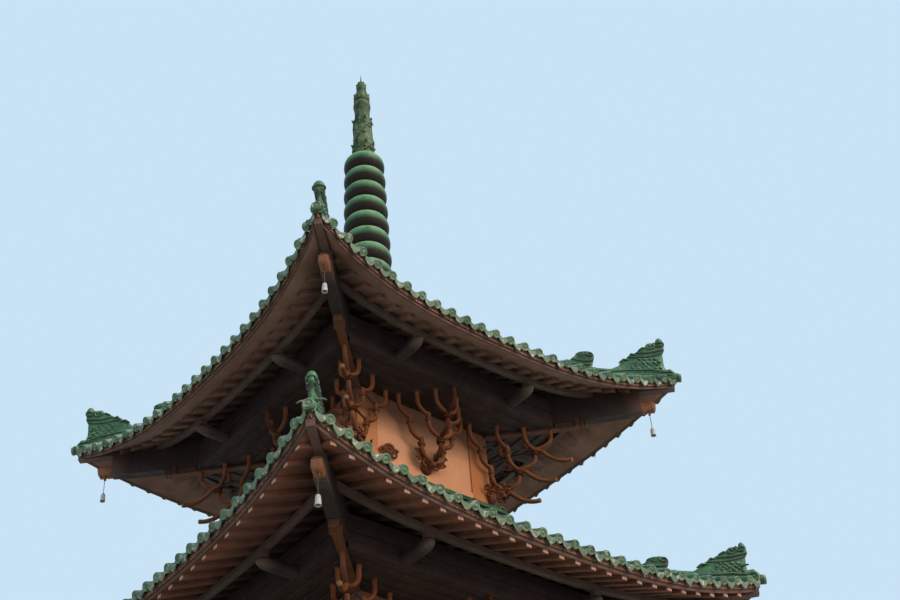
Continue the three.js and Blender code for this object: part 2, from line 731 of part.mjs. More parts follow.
STOREYS.forEach((storey) => {
  const { number } = storey;
  storey.roofGeometry = squareShell(
    (share, run) => roofPoint(storey, share, run),
    (share, run) => roofPoint(storey, share, run).add(new THREE.Vector3(0, 0, -TILE_BED_THICK)),
    ROOF_STEPS,
    ROOF_RUNS,
  );
  const ridgeGeometry = ridges(storey);
  const deck = eaveDeck(storey);
  addPart(`wall_${number}`, wallTube(storey), colours.plaster);
  addPart(`pilasters_${number}`, pilasters(storey), colours.orange);
  const sides = [...middleBracket(storey), ...cornerBracket(storey), cornerBeam(storey), ...bellHanger(storey)];
  const timbers = toSolid(joined([...aroundTower(sides), ...eaveTimbers(storey)]));
  const deckLowered = toSolid(deck.clone().translate(0, 0, -SEAT_GAP));
  addPart(`brackets_${number}`, toGeometry(timbers.subtract(deckLowered)), colours.arms);
  addPart(`eave_deck_${number}`, deck, colours.boards);
  addPart(`roof_${number}`, storey.roofGeometry, colours.glaze);
  addPart(`ridges_${number}`, ridgeGeometry, colours.glaze);
  CORNER_NAMES.forEach((corner, quarter) => {
    addPart(`bell_${number}_${corner}`, turned(windBell(storey), quarter), colours.bell);
  });
});
addPart("door_surround", doorSurround(STOREYS[0]), colours.orange);
addPart("spire_base", spireBase(), colours.spire);
addPart("spire_rings", spireRings(), colours.spire);
addPart("spire_shaft", spireShaft(), colours.spire);
addPart("spire_crown", spireCrown(), colours.spire);

export default group;
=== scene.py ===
"""Looks of the square pagoda, built round its CAD frame. Metres, +Z up, the entrance faces -Y."""
import math
import random

import bpy
from mathutils import Matrix, Vector


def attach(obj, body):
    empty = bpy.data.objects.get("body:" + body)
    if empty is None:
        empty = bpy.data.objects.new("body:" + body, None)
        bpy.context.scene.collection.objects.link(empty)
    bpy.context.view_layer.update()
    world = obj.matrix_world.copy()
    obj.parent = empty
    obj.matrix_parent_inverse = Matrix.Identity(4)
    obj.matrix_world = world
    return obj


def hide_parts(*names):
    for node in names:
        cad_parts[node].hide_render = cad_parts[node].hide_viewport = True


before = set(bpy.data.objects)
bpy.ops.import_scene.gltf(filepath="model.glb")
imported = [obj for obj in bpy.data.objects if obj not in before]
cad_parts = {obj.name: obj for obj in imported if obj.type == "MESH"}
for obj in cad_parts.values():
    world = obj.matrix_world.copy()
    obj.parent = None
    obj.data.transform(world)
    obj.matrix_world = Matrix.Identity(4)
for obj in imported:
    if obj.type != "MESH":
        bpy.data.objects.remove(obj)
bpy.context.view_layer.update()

chance = random.Random(11)

# Sizes shared with the CAD model
SEAT_GAP = 0.0003
RISE_POWER = 2.88
FLARE_POWER = 2.5
BED_TOP = -0.045
BED_THICK = 0.095
ROOF_START_SHARE = 0.55
DECK_INSET = 0.095
DECK_BACKED = 0.12
DECK_BITE = 0.012
DECK_THICK = 0.11
DECK_SLOPE = 0.4
PILASTER_WIDE = 0.325
PILASTER_PROUD = 0.022
BRACKET_STEP = 0.18
BRACKET_LEVELS = [-1.06, -0.76, -0.46, -0.17]
MIDDLE_REACH = 0.175
CORNER_REACH = 0.14
CEILING_LEVEL = -0.16
PURLIN_WIDE = 0.11
OUTER_PURLIN_INSET = 0.92
BEAM_LEVEL = -0.08
BEAM_HEAD_INSET = 0.82
HEAD_INSET = 0.322
HEAD_BOTTOM = -0.07
CORNER_BEAM_BASE = -0.19
CORNER_BEAM_BEND = 1.03
CORNER_BEAM_STEP = 0.09
HEAD_LONG = 0.21
BELL_INSET = 0.397
PIN_DROP = 0.028
BELL_DROP = 0.265
BELL_HEIGHT = 0.13
BELL_RADIUS = 0.039
RING_RIDGE_TALL = 0.39
RING_RIDGE_WIDE = 0.17
RING_COUNT = 9
RING_PITCH = 0.342
LOWEST_RING = 2.844
PLINTH_HEIGHT = 0.6
PLINTH_HALF = 2.7
COPING_TALL = 0.09
COPING_PROUD = 0.06
STEP_COUNT = 3
STEP_TALL = 0.15
STEP_GOING = 0.29
STEPS_HALF = 0.9
DOOR_HALF = 0.55
DOOR_HEIGHT = 2.15
DOOR_FACE = 1.84

# Sizes of what only the looks show
RING_SINK = 0.085
RING_SPREAD = 0.007
PAVED_TO = 1.86
STONE_JOINT = 0.007
TILE_ROW = 0.25
TILE_LONG = 0.3
COVER_RADIUS = 0.058
COVER_LIFT = 0.04
PAN_HALF = 0.082
CAP_SIZE = 0.93
EAVE_SETBACK = 0.024
CORNER_SETBACK = 0.052
RAFTER_WIDE = 0.085
RAFTER_BOTTOM = 0.095
BOARD_THICK = 0.022
ARM_RADIUS = 0.031
CORNER_LATERAL = 0.35

ROOT_TWO = math.sqrt(2)
SIDEWAYS = Vector((1, 0, 0))
UPWARD = Vector((0, 0, 1))


class Storey:
    """One storey's sizes, as in the CAD model, what its looks add, and the paints of its rafters."""

    def __init__(self, number, eave, corner, rise, flare, wall, roof_half, roof_rise, rows):
        self.number = number
        self.eave = eave
        self.corner = corner
        self.rise = rise
        self.flare = flare
        self.wall = wall
        self.roof_half = roof_half
        self.roof_rise = roof_rise
        self.rows = rows
        self.span = corner - roof_half
        self.on_top = number == 3
        self.rafter_inset = 0.42 if self.on_top else 0.14
        self.fin_tall = 0.97 if self.on_top else 0.76
        # Insets from the corner between which the paint under the eave goes from painted shade to painted
        # light
        self.lit_band = (1.4, 0.6) if self.on_top else (1.35, 0.3)
        self.rafter_paint = None
        self.rafter_end_paint = None


STOREYS = [
    Storey(1, 5.04, 3.92, 0.455, 0.13, 1.78, 1.4623, 1.6, 32),
    Storey(2, 8.34, 3.557, 0.457, 0.13, 1.44, 1.1223, 1.6, 29),
    Storey(3, 11.64, 3.187, 0.475, 0.292, 1.1, 0.33, 2.2, 26),
]
TOP_EAVE = STOREYS[2].eave


# Roof surfaces

def turn(point, quarters):
    """A point turned round the tower's axis by quarter turns."""
    x, y, z = point
    for _ in range(quarters):
        x, y = -y, x
    return (x, y, z)


def on_hip(along, across, z):
    """Point of the front right hip: along it from the tower's middle line, and across it."""
    return ((along + across) * math.sqrt(0.5), (across - along) * math.sqrt(0.5), z)


def clamp(value, low=-1.0, high=1.0):
    return max(low, min(high, value))


def edge_inset(storey, share):
    """How far the eave's edge lies inside the roof corners' line, by the share of the way to the corner."""
    return storey.flare * (1 - abs(share) ** FLARE_POWER)


def roof_point(storey, share, run, lift=0.0):
    """Top of the tile bed. share goes from -1 to 1 between the hips, run from 0 at the eave to 1."""
    reach = (storey.corner - edge_inset(storey, share)) * (1 - run) + storey.roof_half * run
    x = share * (storey.corner * (1 - run) + storey.roof_half * run)
    rise = storey.rise * abs(share) ** RISE_POWER * (1 - run) ** 2
    climb = storey.roof_rise * (ROOF_START_SHARE * run + (1 - ROOF_START_SHARE) * run * run)
    return Vector((x, -reach, storey.eave + BED_TOP + rise + climb + lift))


def share_at(storey, x, run):
    """Share of the way to the hip at which a line up the roof at x lies."""
    return clamp(x / (storey.corner * (1 - run) + storey.roof_half * run))


def row_point(storey, x, run):
    """Point of the tile bed on a line that runs straight up the roof."""
    return roof_point(storey, share_at(storey, x, run), run)


def last_run(storey, share):
    """Run of the roof over the line where its eave meets the wall."""
    reach = storey.corner - edge_inset(storey, share)
    return (reach - storey.wall - SEAT_GAP) / (reach - storey.roof_half)


def deck_point(storey, share, run, drop=0.0):
    """Top of the boards under the eave, by the run of the roof over it."""
    first = DECK_INSET / storey.span
    backing = min(run, first + (last_run(storey, share) - first) * DECK_BACKED)
    point = roof_point(storey, share, run)
    lift = storey.rise * abs(share) ** RISE_POWER * ((1 - run) ** 2 - (1 - backing) ** 2)
    climb = DECK_SLOPE * (run - backing) * storey.span
    point.z = roof_point(storey, share, backing).z + lift + climb - BED_THICK + DECK_BITE - drop
    return point


def deck_last_run(storey, x):
    """Run at which a line at x under the eave meets the wall or the hip."""
    reach = storey.corner - edge_inset(storey, clamp(x / storey.corner))
    at_wall = (reach - storey.wall) / (reach - storey.roof_half)
    return min(at_wall, (storey.corner - abs(x)) / storey.span)


def deck_under(storey, x, reach):
    """Height of the underside of the rafters over a point under the eave of the side that faces -Y."""
    share = clamp(x / storey.corner)
    for _ in range(3):
        edge = storey.corner - edge_inset(storey, share)
        run = (edge - reach) / (edge - storey.roof_half)
        share = share_at(storey, x, run)
    return deck_point(storey, share, run, DECK_THICK).z


def row_places(storey):
    """Places of the cover tile rows along one side."""
    first = -(storey.rows - 1) / 2 * TILE_ROW
    limit = storey.corner - 0.075
    return [clamp(first + index * TILE_ROW, -limit, limit) for index in range(storey.rows)]


def hip_place(storey, inset, across, height):
    """Point over the front right hip, by its inset from the roof corner and its height over the tile bed."""
    reach = storey.corner - inset
    return Vector(on_hip(reach * ROOT_TWO, across, roof_point(storey, 1, inset / storey.span).z + height))


# Mesh making

def full_turn(sides, start=0.0):
    """Evenly spaced angles round a full turn."""
    return [start + 2 * math.pi * step / sides for step in range(sides)]


def circle(centre, side, other, radius, sides):
    """Points round a centre."""
    return [
        centre + (side * math.cos(angle) + other * math.sin(angle)) * radius
        for angle in full_turn(sides)
    ]


def slope_up(along):
    """Direction off the roof, square to a row of tiles that runs along."""
    up = SIDEWAYS.cross(along).normalized()
    return -up if up.z < 0 else up


class Form:
    """Points and faces gathered for one piece."""

    def __init__(self):
        self.points = []
        self.faces = []

    def add(self, points, faces):
        first = len(self.points)
        self.points.extend([tuple(point) for point in points])
        self.faces.extend([[first + corner for corner in face] for face in faces])

    def loft(self, rings, wrap=True, start_cap=True, end_cap=True):
        """Skin over rings with the same number of points."""
        count = len(rings[0])
        faces = []
        for row in range(len(rings) - 1):
            for step in range(count if wrap else count - 1):
                here = row * count + step
                other = row * count + (step + 1) % count
                faces.append([here, other, other + count, here + count])
        if start_cap and wrap:
            faces.append(list(range(count - 1, -1, -1)))
        if end_cap and wrap:
            last = (len(rings) - 1) * count
            faces.append([last + step for step in range(count)])
        self.add([point for ring in rings for point in ring], faces)

    def tube(self, path, radii, sides=10):
        """Round bar along a path, with one radius or one for each point."""
        path = [Vector(point) for point in path]
        if not isinstance(radii, list):
            radii = [radii] * len(path)
        last = len(path) - 1
        tangents = []
        for index in range(last + 1):
            chord = path[min(index + 1, last)] - path[max(index - 1, 0)]
            tangents.append(chord.normalized())
        side = tangents[0].orthogonal().normalized()
        rings = []
        for point, tangent, radius in zip(path, tangents, radii):
            side = (side - tangent * side.dot(tangent)).normalized()
            rings.append(circle(point, side, tangent.cross(side), radius, sides))
        self.loft(rings)

    def turned(self, centre, axis, outline, sides=14):
        """Turned piece: outline holds (radius, distance along the axis)."""
        axis = Vector(axis).normalized()
        side = axis.orthogonal().normalized()
        other = axis.cross(side)
        self.loft([
            circle(Vector(centre) + axis * along, side, other, radius, sides) for radius, along in outline
        ])

    def bar(self, start, end, wide, tall, up=(0, 0, 1)):
        """Squared bar between two points, with its own width and height."""
        start = Vector(start)
        end = Vector(end)
        along = (end - start).normalized()
        side = along.cross(Vector(up)).normalized() * wide / 2
        lift = side.cross(along).normalized() * tall / 2
        self.loft([
            [point - side - lift, point + side - lift, point + side + lift, point - side + lift]
            for point in (start, end)
        ])

    def block(self, low, high):
        x0, y0, z0 = low
        x1, y1, z1 = high
        self.loft([[(x0, y0, z), (x1, y0, z), (x1, y1, z), (x0, y1, z)] for z in (z0, z1)])

    def merge(self, other, quarters=0):
        self.add([turn(point, quarters) for point in other.points], other.faces)

    def hip_mirrored(self):
        """The same form on the other side of the front right hip."""
        copy = Form()
        copy.add([(-y, -x, z) for x, y, z in self.points], [face[::-1] for face in self.faces])
        return copy

    def around(self):
        """Four copies, one for each side of the tower."""
        whole = Form()
        for quarters in range(4):
            whole.merge(self, quarters)
        return whole

    def make(self, name, material, slot, body="tower", sharp=35, bevel=0.0):
        """Object of this form, smooth but for its sharp edges, with the body that it rides. slot is not
        used.
        """
        mesh = bpy.data.meshes.new(name)
        mesh.from_pydata(self.points, [], self.faces)
        mesh.validate()
        mesh.update()
        mesh.polygons.foreach_set("use_smooth", [True] * len(mesh.polygons))
        mesh.set_sharp_from_angle(angle=math.radians(sharp))
        mesh.materials.append(material)
        piece = bpy.data.objects.new(name, mesh)
        bpy.context.scene.collection.objects.link(piece)
        if bevel:
            edge = piece.modifiers.new("worn edges", "BEVEL")
            edge.width = bevel
            edge.segments = 2
            edge.limit_method = "ANGLE"
            edge.harden_normals = True
        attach(piece, body)
        return piece


# Materials

# Numbers of the colour sockets of a mix node
MIX_FIRST = 6
MIX_SECOND = 7
MIX_COLOUR = 2


class Paint:
    """A procedural material that is built up from noise and from where a face lies or looks."""

    def __init__(self, name):
        self.material = bpy.data.materials.new(name)
        self.material.use_nodes = True
        self.tree = self.material.node_tree
        self.tree.nodes.clear()
        self.shader = self.tree.nodes.new("ShaderNodeBsdfPrincipled")
        output = self.tree.nodes.new("ShaderNodeOutputMaterial")
        self.tree.links.new(self.shader.outputs[0], output.inputs[0])

    def feed(self, socket, value):
        """Links another node's output to a socket, or sets a constant on it."""
        if isinstance(value, bpy.types.NodeSocket):
            self.tree.links.new(value, socket)
        elif socket.type == "RGBA":
            socket.default_value = (*value, 1)
        else:
            socket.default_value = value

    def node(self, kind, inputs, output=0, **settings):
        """Output of a new node whose inputs are given by name or number."""
        node = self.tree.nodes.new("ShaderNode" + kind)
        for setting, value in settings.items():
            setattr(node, setting, value)
        for key, value in inputs.items():
            self.feed(node.inputs[key], value)
        return node.outputs[output]

    def spread(self, value, low, high):
        """0 where a value is low, 1 where it is high."""
        return self.node("MapRange", {"Value": value, "From Min": low, "From Max": high})

    def ranged(self, share, low, high):
        """Value between low and high, by a share from 0 to 1."""
        return self.node("MapRange", {"Value": share, "To Min": low, "To Max": high})

    def math(self, operation, first, second=0.0):
        return self.node("Math", {0: first, 1: second}, operation=operation)

    def mixed(self, share, first, second):
        """Colour between two, each a colour or a socket."""
        inputs = {0: share, MIX_FIRST: first, MIX_SECOND: second}
        return self.node("Mix", inputs, MIX_COLOUR, data_type="RGBA")

    def noise(self, scale, detail=4.0, low=0.35, high=0.65, stretch=(1, 1, 1)):
        """Noise in object space, spread to run from 0 at low to 1 at high."""
        place = self.node("Mapping", {"Vector": self.node("TexCoord", {}, "Object"), "Scale": stretch})
        inputs = {"Vector": place, "Scale": scale, "Detail": detail, "Roughness": 0.6}
        return self.spread(self.node("TexNoise", inputs, "Fac"), low, high)

    def facing_up(self, low, high):
        """1 on faces that look up, 0 on those that look down."""
        normal = self.node("NewGeometry", {}, "Normal")
        return self.spread(self.node("SeparateXYZ", {0: normal}, "Z"), low, high)

    def place(self, axis):
        """One coordinate of the shaded point, in the shared frame."""
        return self.node("SeparateXYZ", {0: self.node("TexCoord", {}, "Object")}, axis)

    def from_middle(self, operation):
        """The greater or smaller distance from the tower's two upright middle planes."""
        sides = [self.math("ABSOLUTE", self.place(axis)) for axis in ("X", "Y")]
        return self.math(operation, *sides)

    def finish(self, colour, rough, grain, bump, shine=0.5, coat=0.0):
        """Sets the colour, roughness, fine bumps and shine, and returns the finished material."""
        self.feed(self.shader.inputs["Base Color"], colour)
        self.feed(self.shader.inputs["Roughness"], rough)
        self.feed(self.shader.inputs["Specular IOR Level"], shine)
        self.feed(self.shader.inputs["Coat Weight"], coat)
        self.feed(self.shader.inputs["Coat Roughness"], 0.25)
        inputs = {"Strength": 1.0, "Distance": bump, "Height": self.noise(*grain, 0.2, 0.8)}
        dents = self.node("Bump", inputs)
        self.feed(self.shader.inputs["Normal"], dents)
        return self.material


def glaze(name, green, pale, moss_and_top_highlight, pale_low, moss_and_highlight_range, rough, coat=0.2, shine=0.4, underside_shade=None):
    """Weathered glaze: pale worn patches on green, moss on top (on the spire a painted highlight) and
    painted shade below.
    """
    paint = Paint(name)
    colour = paint.mixed(paint.noise(3.0), *green)
    colour = paint.mixed(paint.noise(14.0, 8.0, pale_low, pale_low + 0.16), colour, pale)
    # Painted shade: a dark tone on faces that look down.
    if underside_shade:
        colour = paint.mixed(paint.facing_up(0.0, -0.3), colour, underside_shade)
    # Moss on faces that look up; the spire's lighter green there is a painted highlight.
    patch = paint.math("MULTIPLY", paint.noise(6.0, 9.0, *moss_and_highlight_range), paint.facing_up(-0.1, 0.7))
    colour = paint.mixed(patch, colour, moss_and_top_highlight)
    roughness = paint.ranged(paint.noise(22.0, 6.0), *rough)
    return paint.finish(colour, roughness, (55.0, 6.0), 0.004, shine, coat)


def painted(name, tones, chip, chip_low, scale, rough, bump, under=None):
    """Old paint: drifts between two tones and is chipped. under is the tone of what looks down, set apart as
    painted shade.
    """
    paint = Paint(name)
    colour = paint.mixed(paint.noise(scale, 6.0, 0.3, 0.7), *tones)
    colour = paint.mixed(paint.noise(scale * 5, 9.0, chip_low, chip_low + 0.06), colour, chip)
    # Painted shade: darker undersides on the brackets, and on the hip courses darker sides over an underside
    # of their own colour.
    if under:
        colour = paint.mixed(paint.facing_up(0.2, -0.6), colour, under)
    roughness = paint.ranged(paint.noise(scale * 3, 5.0), *rough)
    return paint.finish(colour, roughness, (scale * 9, 8.0), bump, 0.25)


def eave_paint(name, storey, shaded_tones, weathered, chip, near=1.35, far=0.3):
    """Old paint under an eave: painted shade by the wall, paler and browner at the edge as painted light,
    between two insets.
    """
    paint = Paint(f"{name} {storey.number}")
    drift = paint.noise(3.0, 6.0, 0.3, 0.7)
    # Painted shade and light: dark tones by the wall, and the paler tones in weathered towards the edge.
    outward = paint.spread(paint.from_middle("MAXIMUM"), storey.corner - near, storey.corner - far)
    colour = paint.mixed(outward, paint.mixed(drift, *shaded_tones), paint.mixed(drift, *weathered))
    chips = paint.math("MULTIPLY", paint.noise(15.0, 9.0, 0.66, 0.72), 0.6)
    colour = paint.mixed(chips, colour, chip)
    roughness = paint.ranged(paint.noise(9.0, 5.0), 0.55, 0.85)
    return paint.finish(colour, roughness, (30.0, 8.0), 0.003, 0.3)


def wall_plaster(name, storey, tones, stain, sill=None):
    """Limewashed plaster: cloudy tones, stains that run down, painted shade at the ceiling, the sill's own
    tone.
    """
    paint = Paint(f"{name} {storey.number}")
    colour = paint.mixed(paint.noise(1.3, 6.0), *tones)
    if sill:
        between_pilasters = storey.wall + PILASTER_PROUD - PILASTER_WIDE
        band = paint.math("LESS_THAN", paint.from_middle("MINIMUM"), between_pilasters)
        colour = paint.mixed(band, colour, sill)
    runs = paint.math("MULTIPLY", paint.noise(5.0, 7.0, 0.56, 0.78, (1, 1, 0.12)), 0.55)
    colour = paint.mixed(runs, colour, stain)
    # Painted shade: darker towards the top of the wall, under the eave.
    height = paint.spread(paint.place("Z"), storey.eave - 0.74, storey.eave - 0.34)
    colour = paint.mixed(paint.math("MULTIPLY", height, 0.85), colour, EAVE_SHADE)
    return paint.finish(colour, 0.85, (40.0, 10.0), 0.003)


# Tone of the painted shade at the top of the walls
EAVE_SHADE = (0.09, 0.036, 0.02)
GLAZE_ROOF = glaze(
    "weathered green glaze", ((0.02, 0.085, 0.045), (0.07, 0.2, 0.11)), (0.24, 0.34, 0.25),
    (0.17, 0.17, 0.1), 0.56, (0.45, 0.62), (0.25, 0.6),
)
GLAZE_CAP = glaze(
    "pale mossy glaze", ((0.04, 0.09, 0.042), (0.115, 0.18, 0.09)), (0.38, 0.4, 0.28), (0.17, 0.17, 0.08),
    0.53, (0.4, 0.6), (0.4, 0.75),
)
GLAZE_DRIP = glaze(
    "lime-streaked drip tiles", ((0.05, 0.08, 0.043), (0.14, 0.18, 0.105)), (0.62, 0.61, 0.52),
    (0.2, 0.22, 0.12), 0.55, (0.45, 0.62), (0.5, 0.85),
)
# The ridge glaze's last tone is painted shade on what looks down.
GLAZE_RIDGE = glaze(
    "green ridge glaze", ((0.016, 0.07, 0.03), (0.045, 0.16, 0.07)), (0.15, 0.24, 0.12), (0.09, 0.13, 0.05),
    0.58, (0.44, 0.62), (0.35, 0.7), 0.1, 0.3, (0.035, 0.05, 0.03),
)
# The spire glaze's lighter green on what looks up is a painted highlight, its dark brown below painted
# shade.
GLAZE_SPIRE = glaze(
    "green spire glaze", ((0.02, 0.075, 0.03), (0.05, 0.14, 0.055)), (0.1, 0.2, 0.09), (0.2, 0.36, 0.185),
    0.6, (0.25, 0.5), (0.4, 0.65), 0.0, 0.15, (0.02, 0.012, 0.01),
)
# The shaft glaze's last tone is painted shade on what looks down.
GLAZE_SHAFT = glaze(
    "grimy spire shaft glaze", ((0.018, 0.05, 0.018), (0.06, 0.1, 0.036)), (0.12, 0.19, 0.08),
    (0.08, 0.085, 0.04), 0.5, (0.4, 0.62), (0.4, 0.7), 0.0, 0.15, (0.03, 0.026, 0.018),
)
MORTAR = painted(
    "salmon mortar", ((0.07, 0.036, 0.025), (0.34, 0.15, 0.095)), (0.6, 0.42, 0.33), 0.58, 9.0,
    (0.75, 0.95), 0.006,
)
# Dark red-brown timber paint, darker still as painted shade for the timbers deep under the eaves.
TIMBER = painted(
    "dark red-brown timber", ((0.024, 0.014, 0.013), (0.05, 0.028, 0.024)), (0.11, 0.06, 0.045), 0.68, 4.0,
    (0.55, 0.8), 0.003,
)
# The bracket paint's last tone darkens what looks down, as painted shade.
BRACKET = painted(
    "orange-brown bracket paint", ((0.12, 0.035, 0.012), (0.34, 0.11, 0.035)), (0.42, 0.19, 0.09), 0.68, 5.0,
    (0.5, 0.75), 0.003, (0.1, 0.03, 0.012),
)
# The hip course's dark tones are painted shade on its sides; its last tone is its own orange-brown
# underneath.
HIP_COURSE = painted(
    "hip course paint", ((0.03, 0.015, 0.012), (0.06, 0.028, 0.02)), (0.1, 0.045, 0.03), 0.68, 5.0,
    (0.55, 0.8), 0.003, (0.13, 0.045, 0.02),
)
BEAM = painted(
    "weathered beam paint", ((0.09, 0.05, 0.038), (0.15, 0.085, 0.066)), (0.2, 0.12, 0.09), 0.68, 4.0,
    (0.55, 0.8), 0.003,
)
HORN_TIP = painted(
    "pale worn horn tips", ((0.2, 0.08, 0.035), (0.32, 0.14, 0.07)), (0.15, 0.06, 0.03), 0.6, 12.0,
    (0.5, 0.7), 0.002,
)
HEAD = painted(
    "orange beam heads", ((0.14, 0.055, 0.025), (0.28, 0.115, 0.05)), (0.1, 0.045, 0.025), 0.6, 6.0,
    (0.5, 0.7), 0.002,
)
STONE = painted(
    "grey plinth stone", ((0.2, 0.185, 0.165), (0.38, 0.355, 0.31)), (0.12, 0.13, 0.09), 0.6, 3.5,
    (0.75, 0.95), 0.006,
)
BELL = painted(
    "pale worn bell metal", ((0.36, 0.33, 0.31), (0.52, 0.48, 0.46)), (0.2, 0.18, 0.15), 0.62, 20.0,
    (0.35, 0.6), 0.0008,
)
WIRE = painted(
    "dark iron wire", ((0.05, 0.045, 0.04), (0.09, 0.075, 0.06)), (0.12, 0.07, 0.05), 0.6, 30.0,
    (0.5, 0.7), 0.0005,
)


# Camera, light and floor

CAMERA_TURN = (41.60, 39.77, -4.92)  # yaw, pitch and roll in degrees
CAMERA_PLACE = Vector((-10.150, -13.3225, TOP_EAVE - 11.385))
CAMERA_LENS = 56.0
SENSOR_WIDE = 36.0
SKY = (0.6, 0.79, 0.945, 1)
SKY_STRENGTH = 0.97
SUNS = [  # name, strength, angle across, colour, heading
    ("soft key", 2.2, 30, (1.0, 0.95, 0.86), (-0.25, 0.6, -1.0)),
    ("low warm fill", 1.5, 45, (1.0, 0.74, 0.52), (-0.2, 1.0, -0.24)),
]
FLOOR_HALF = 60.0


def set_camera():
    """Photograph's viewpoint: near the front left corner of the tower, looking steeply up."""
    yaw, pitch, roll = (math.radians(angle) for angle in CAMERA_TURN)
    ahead = Vector((math.cos(pitch) * math.sin(yaw), math.cos(pitch) * math.cos(yaw), math.sin(pitch)))
    right = Vector((math.cos(yaw), -math.sin(yaw), 0))
    up = right.cross(ahead)
    right_rolled = right * math.cos(roll) + up * math.sin(roll)
    up_rolled = up * math.cos(roll) - right * math.sin(roll)
    data = bpy.data.cameras.new("camera")
    data.lens = CAMERA_LENS
    data.sensor_width = SENSOR_WIDE
    data.clip_end = 300.0
    camera = bpy.data.objects.new("camera", data)
    bpy.context.scene.collection.objects.link(camera)
    facing = Matrix((right_rolled, up_rolled, -ahead)).transposed().to_4x4()
    camera.matrix_world = Matrix.Translation(CAMERA_PLACE) @ facing
    bpy.context.scene.camera = camera


def set_light():
    bpy.context.scene.view_settings.view_transform = "Standard"
    world = bpy.data.worlds.new("studio")
    world.use_nodes = True
    background = world.node_tree.nodes["Background"]
    background.inputs["Color"].default_value = SKY
    background.inputs["Strength"].default_value = SKY_STRENGTH
    bpy.context.scene.world = world
    for name, energy, angle, colour, heading in SUNS:
        sun = bpy.data.lights.new(name, "SUN")
        sun.energy = energy
        sun.angle = math.radians(angle)
        sun.color = colour
        lamp = bpy.data.objects.new(name, sun)
        lamp.rotation_euler = Vector(heading).to_track_quat("-Z", "Y").to_euler()
        bpy.context.scene.collection.objects.link(lamp)


def make_floor():
    corners = [(x * FLOOR_HALF, y * FLOOR_HALF, 0) for x, y in ((-1, -1), (1, -1), (1, 1), (-1, 1))]
    mesh = bpy.data.meshes.new("floor")
    mesh.from_pydata(corners, [], [[0, 1, 2, 3]])
    paint = Paint("pale floor")
    paint.feed(paint.shader.inputs["Base Color"], (0.42, 0.4, 0.37))
    paint.feed(paint.shader.inputs["Roughness"], 0.9)
    mesh.materials.append(paint.material)
    piece = bpy.data.objects.new("floor", mesh)
    bpy.context.scene.collection.objects.link(piece)


# Plinth and doorway

SLAB_WIDE = 0.55
SLAB_DEEP = 0.5
COURSE_STONE = 0.62
UPPER_STONE = 0.54
COPING_STONE = 0.9
STEP_STONE = 0.8
DOOR_BEADS = [  # distance out from the opening, radius
    (0.018, 0.014), (0.05, 0.02), (0.088, 0.012),
]
CORNICE = [  # underside, top, distance out from the face
    (0.112, 0.132, 0.03), (0.132, 0.15, 0.055), (0.15, 0.175, 0.085),
]
CORNICE_HALF = DOOR_HALF + 0.12
ROSETTE = [
    (0.052, 0), (0.054, 0.022), (0.044, 0.03), (0.04, 0.022), (0.03, 0.022), (0.024, 0.036), (0.006, 0.042),
]
DENTIL_COUNT = 18


def course(form, start, end, low, high, out, long):
    """Row of dressed stones on the side that faces -Y, with open joints between them."""
    gap = STONE_JOINT / 2
    x = start
    while x < end - 0.001:
        stop = x + long * chance.uniform(0.75, 1.25)
        if end - stop < long * 0.5:
            stop = end
        proud = out + chance.uniform(0.002, 0.008)
        form.block((x + gap, -proud, low + gap), (stop - gap, -out + 0.03, high - gap))
        x = stop


def paving(form, x0, x1, y0, y1, top):
    """Paving slabs, each with its own slight height."""
    gap = STONE_JOINT / 2
    across = max(1, round((x1 - x0) / SLAB_WIDE))
    deep = max(1, round((y1 - y0) / SLAB_DEEP))
    for column in range(across):
        for row in range(deep):
            left = x0 + (x1 - x0) * column / across + gap
            right = x0 + (x1 - x0) * (column + 1) / across - gap
            front = y0 + (y1 - y0) * row / deep + gap
            back = y0 + (y1 - y0) * (row + 1) / deep - gap
            form.block((left, front, top - 0.03), (right, back, top + chance.uniform(0.002, 0.007)))


def plinth_stones():
    """Stones of the plinth: two courses and a coping on each side, the paving on top, and the steps."""
    stones = Form()
    coping = PLINTH_HALF + COPING_PROUD
    foot = PLINTH_HEIGHT - COPING_TALL
    for quarter in range(4):
        side = Form()
        course(side, -PLINTH_HALF, PLINTH_HALF, 0.0, foot / 2, PLINTH_HALF, COURSE_STONE)
        course(side, -PLINTH_HALF, PLINTH_HALF, foot / 2, foot, PLINTH_HALF, UPPER_STONE)
        course(side, -coping, coping, foot, PLINTH_HEIGHT, coping, COPING_STONE)
        paving(side, -coping, PAVED_TO, -coping, -PAVED_TO, PLINTH_HEIGHT)
        stones.merge(side, quarter)
    for step in range(STEP_COUNT):
        out = coping + (STEP_COUNT - step) * STEP_GOING
        top = (step + 1) * STEP_TALL
        course(stones, -STEPS_HALF, STEPS_HALF, step * STEP_TALL, top, out, STEP_STONE)
        paving(stones, -STEPS_HALF, STEPS_HALF, -out, -out + STEP_GOING, top)
    stones.make("plinth_stones", STONE, "stone", sharp=30, bevel=0.006)


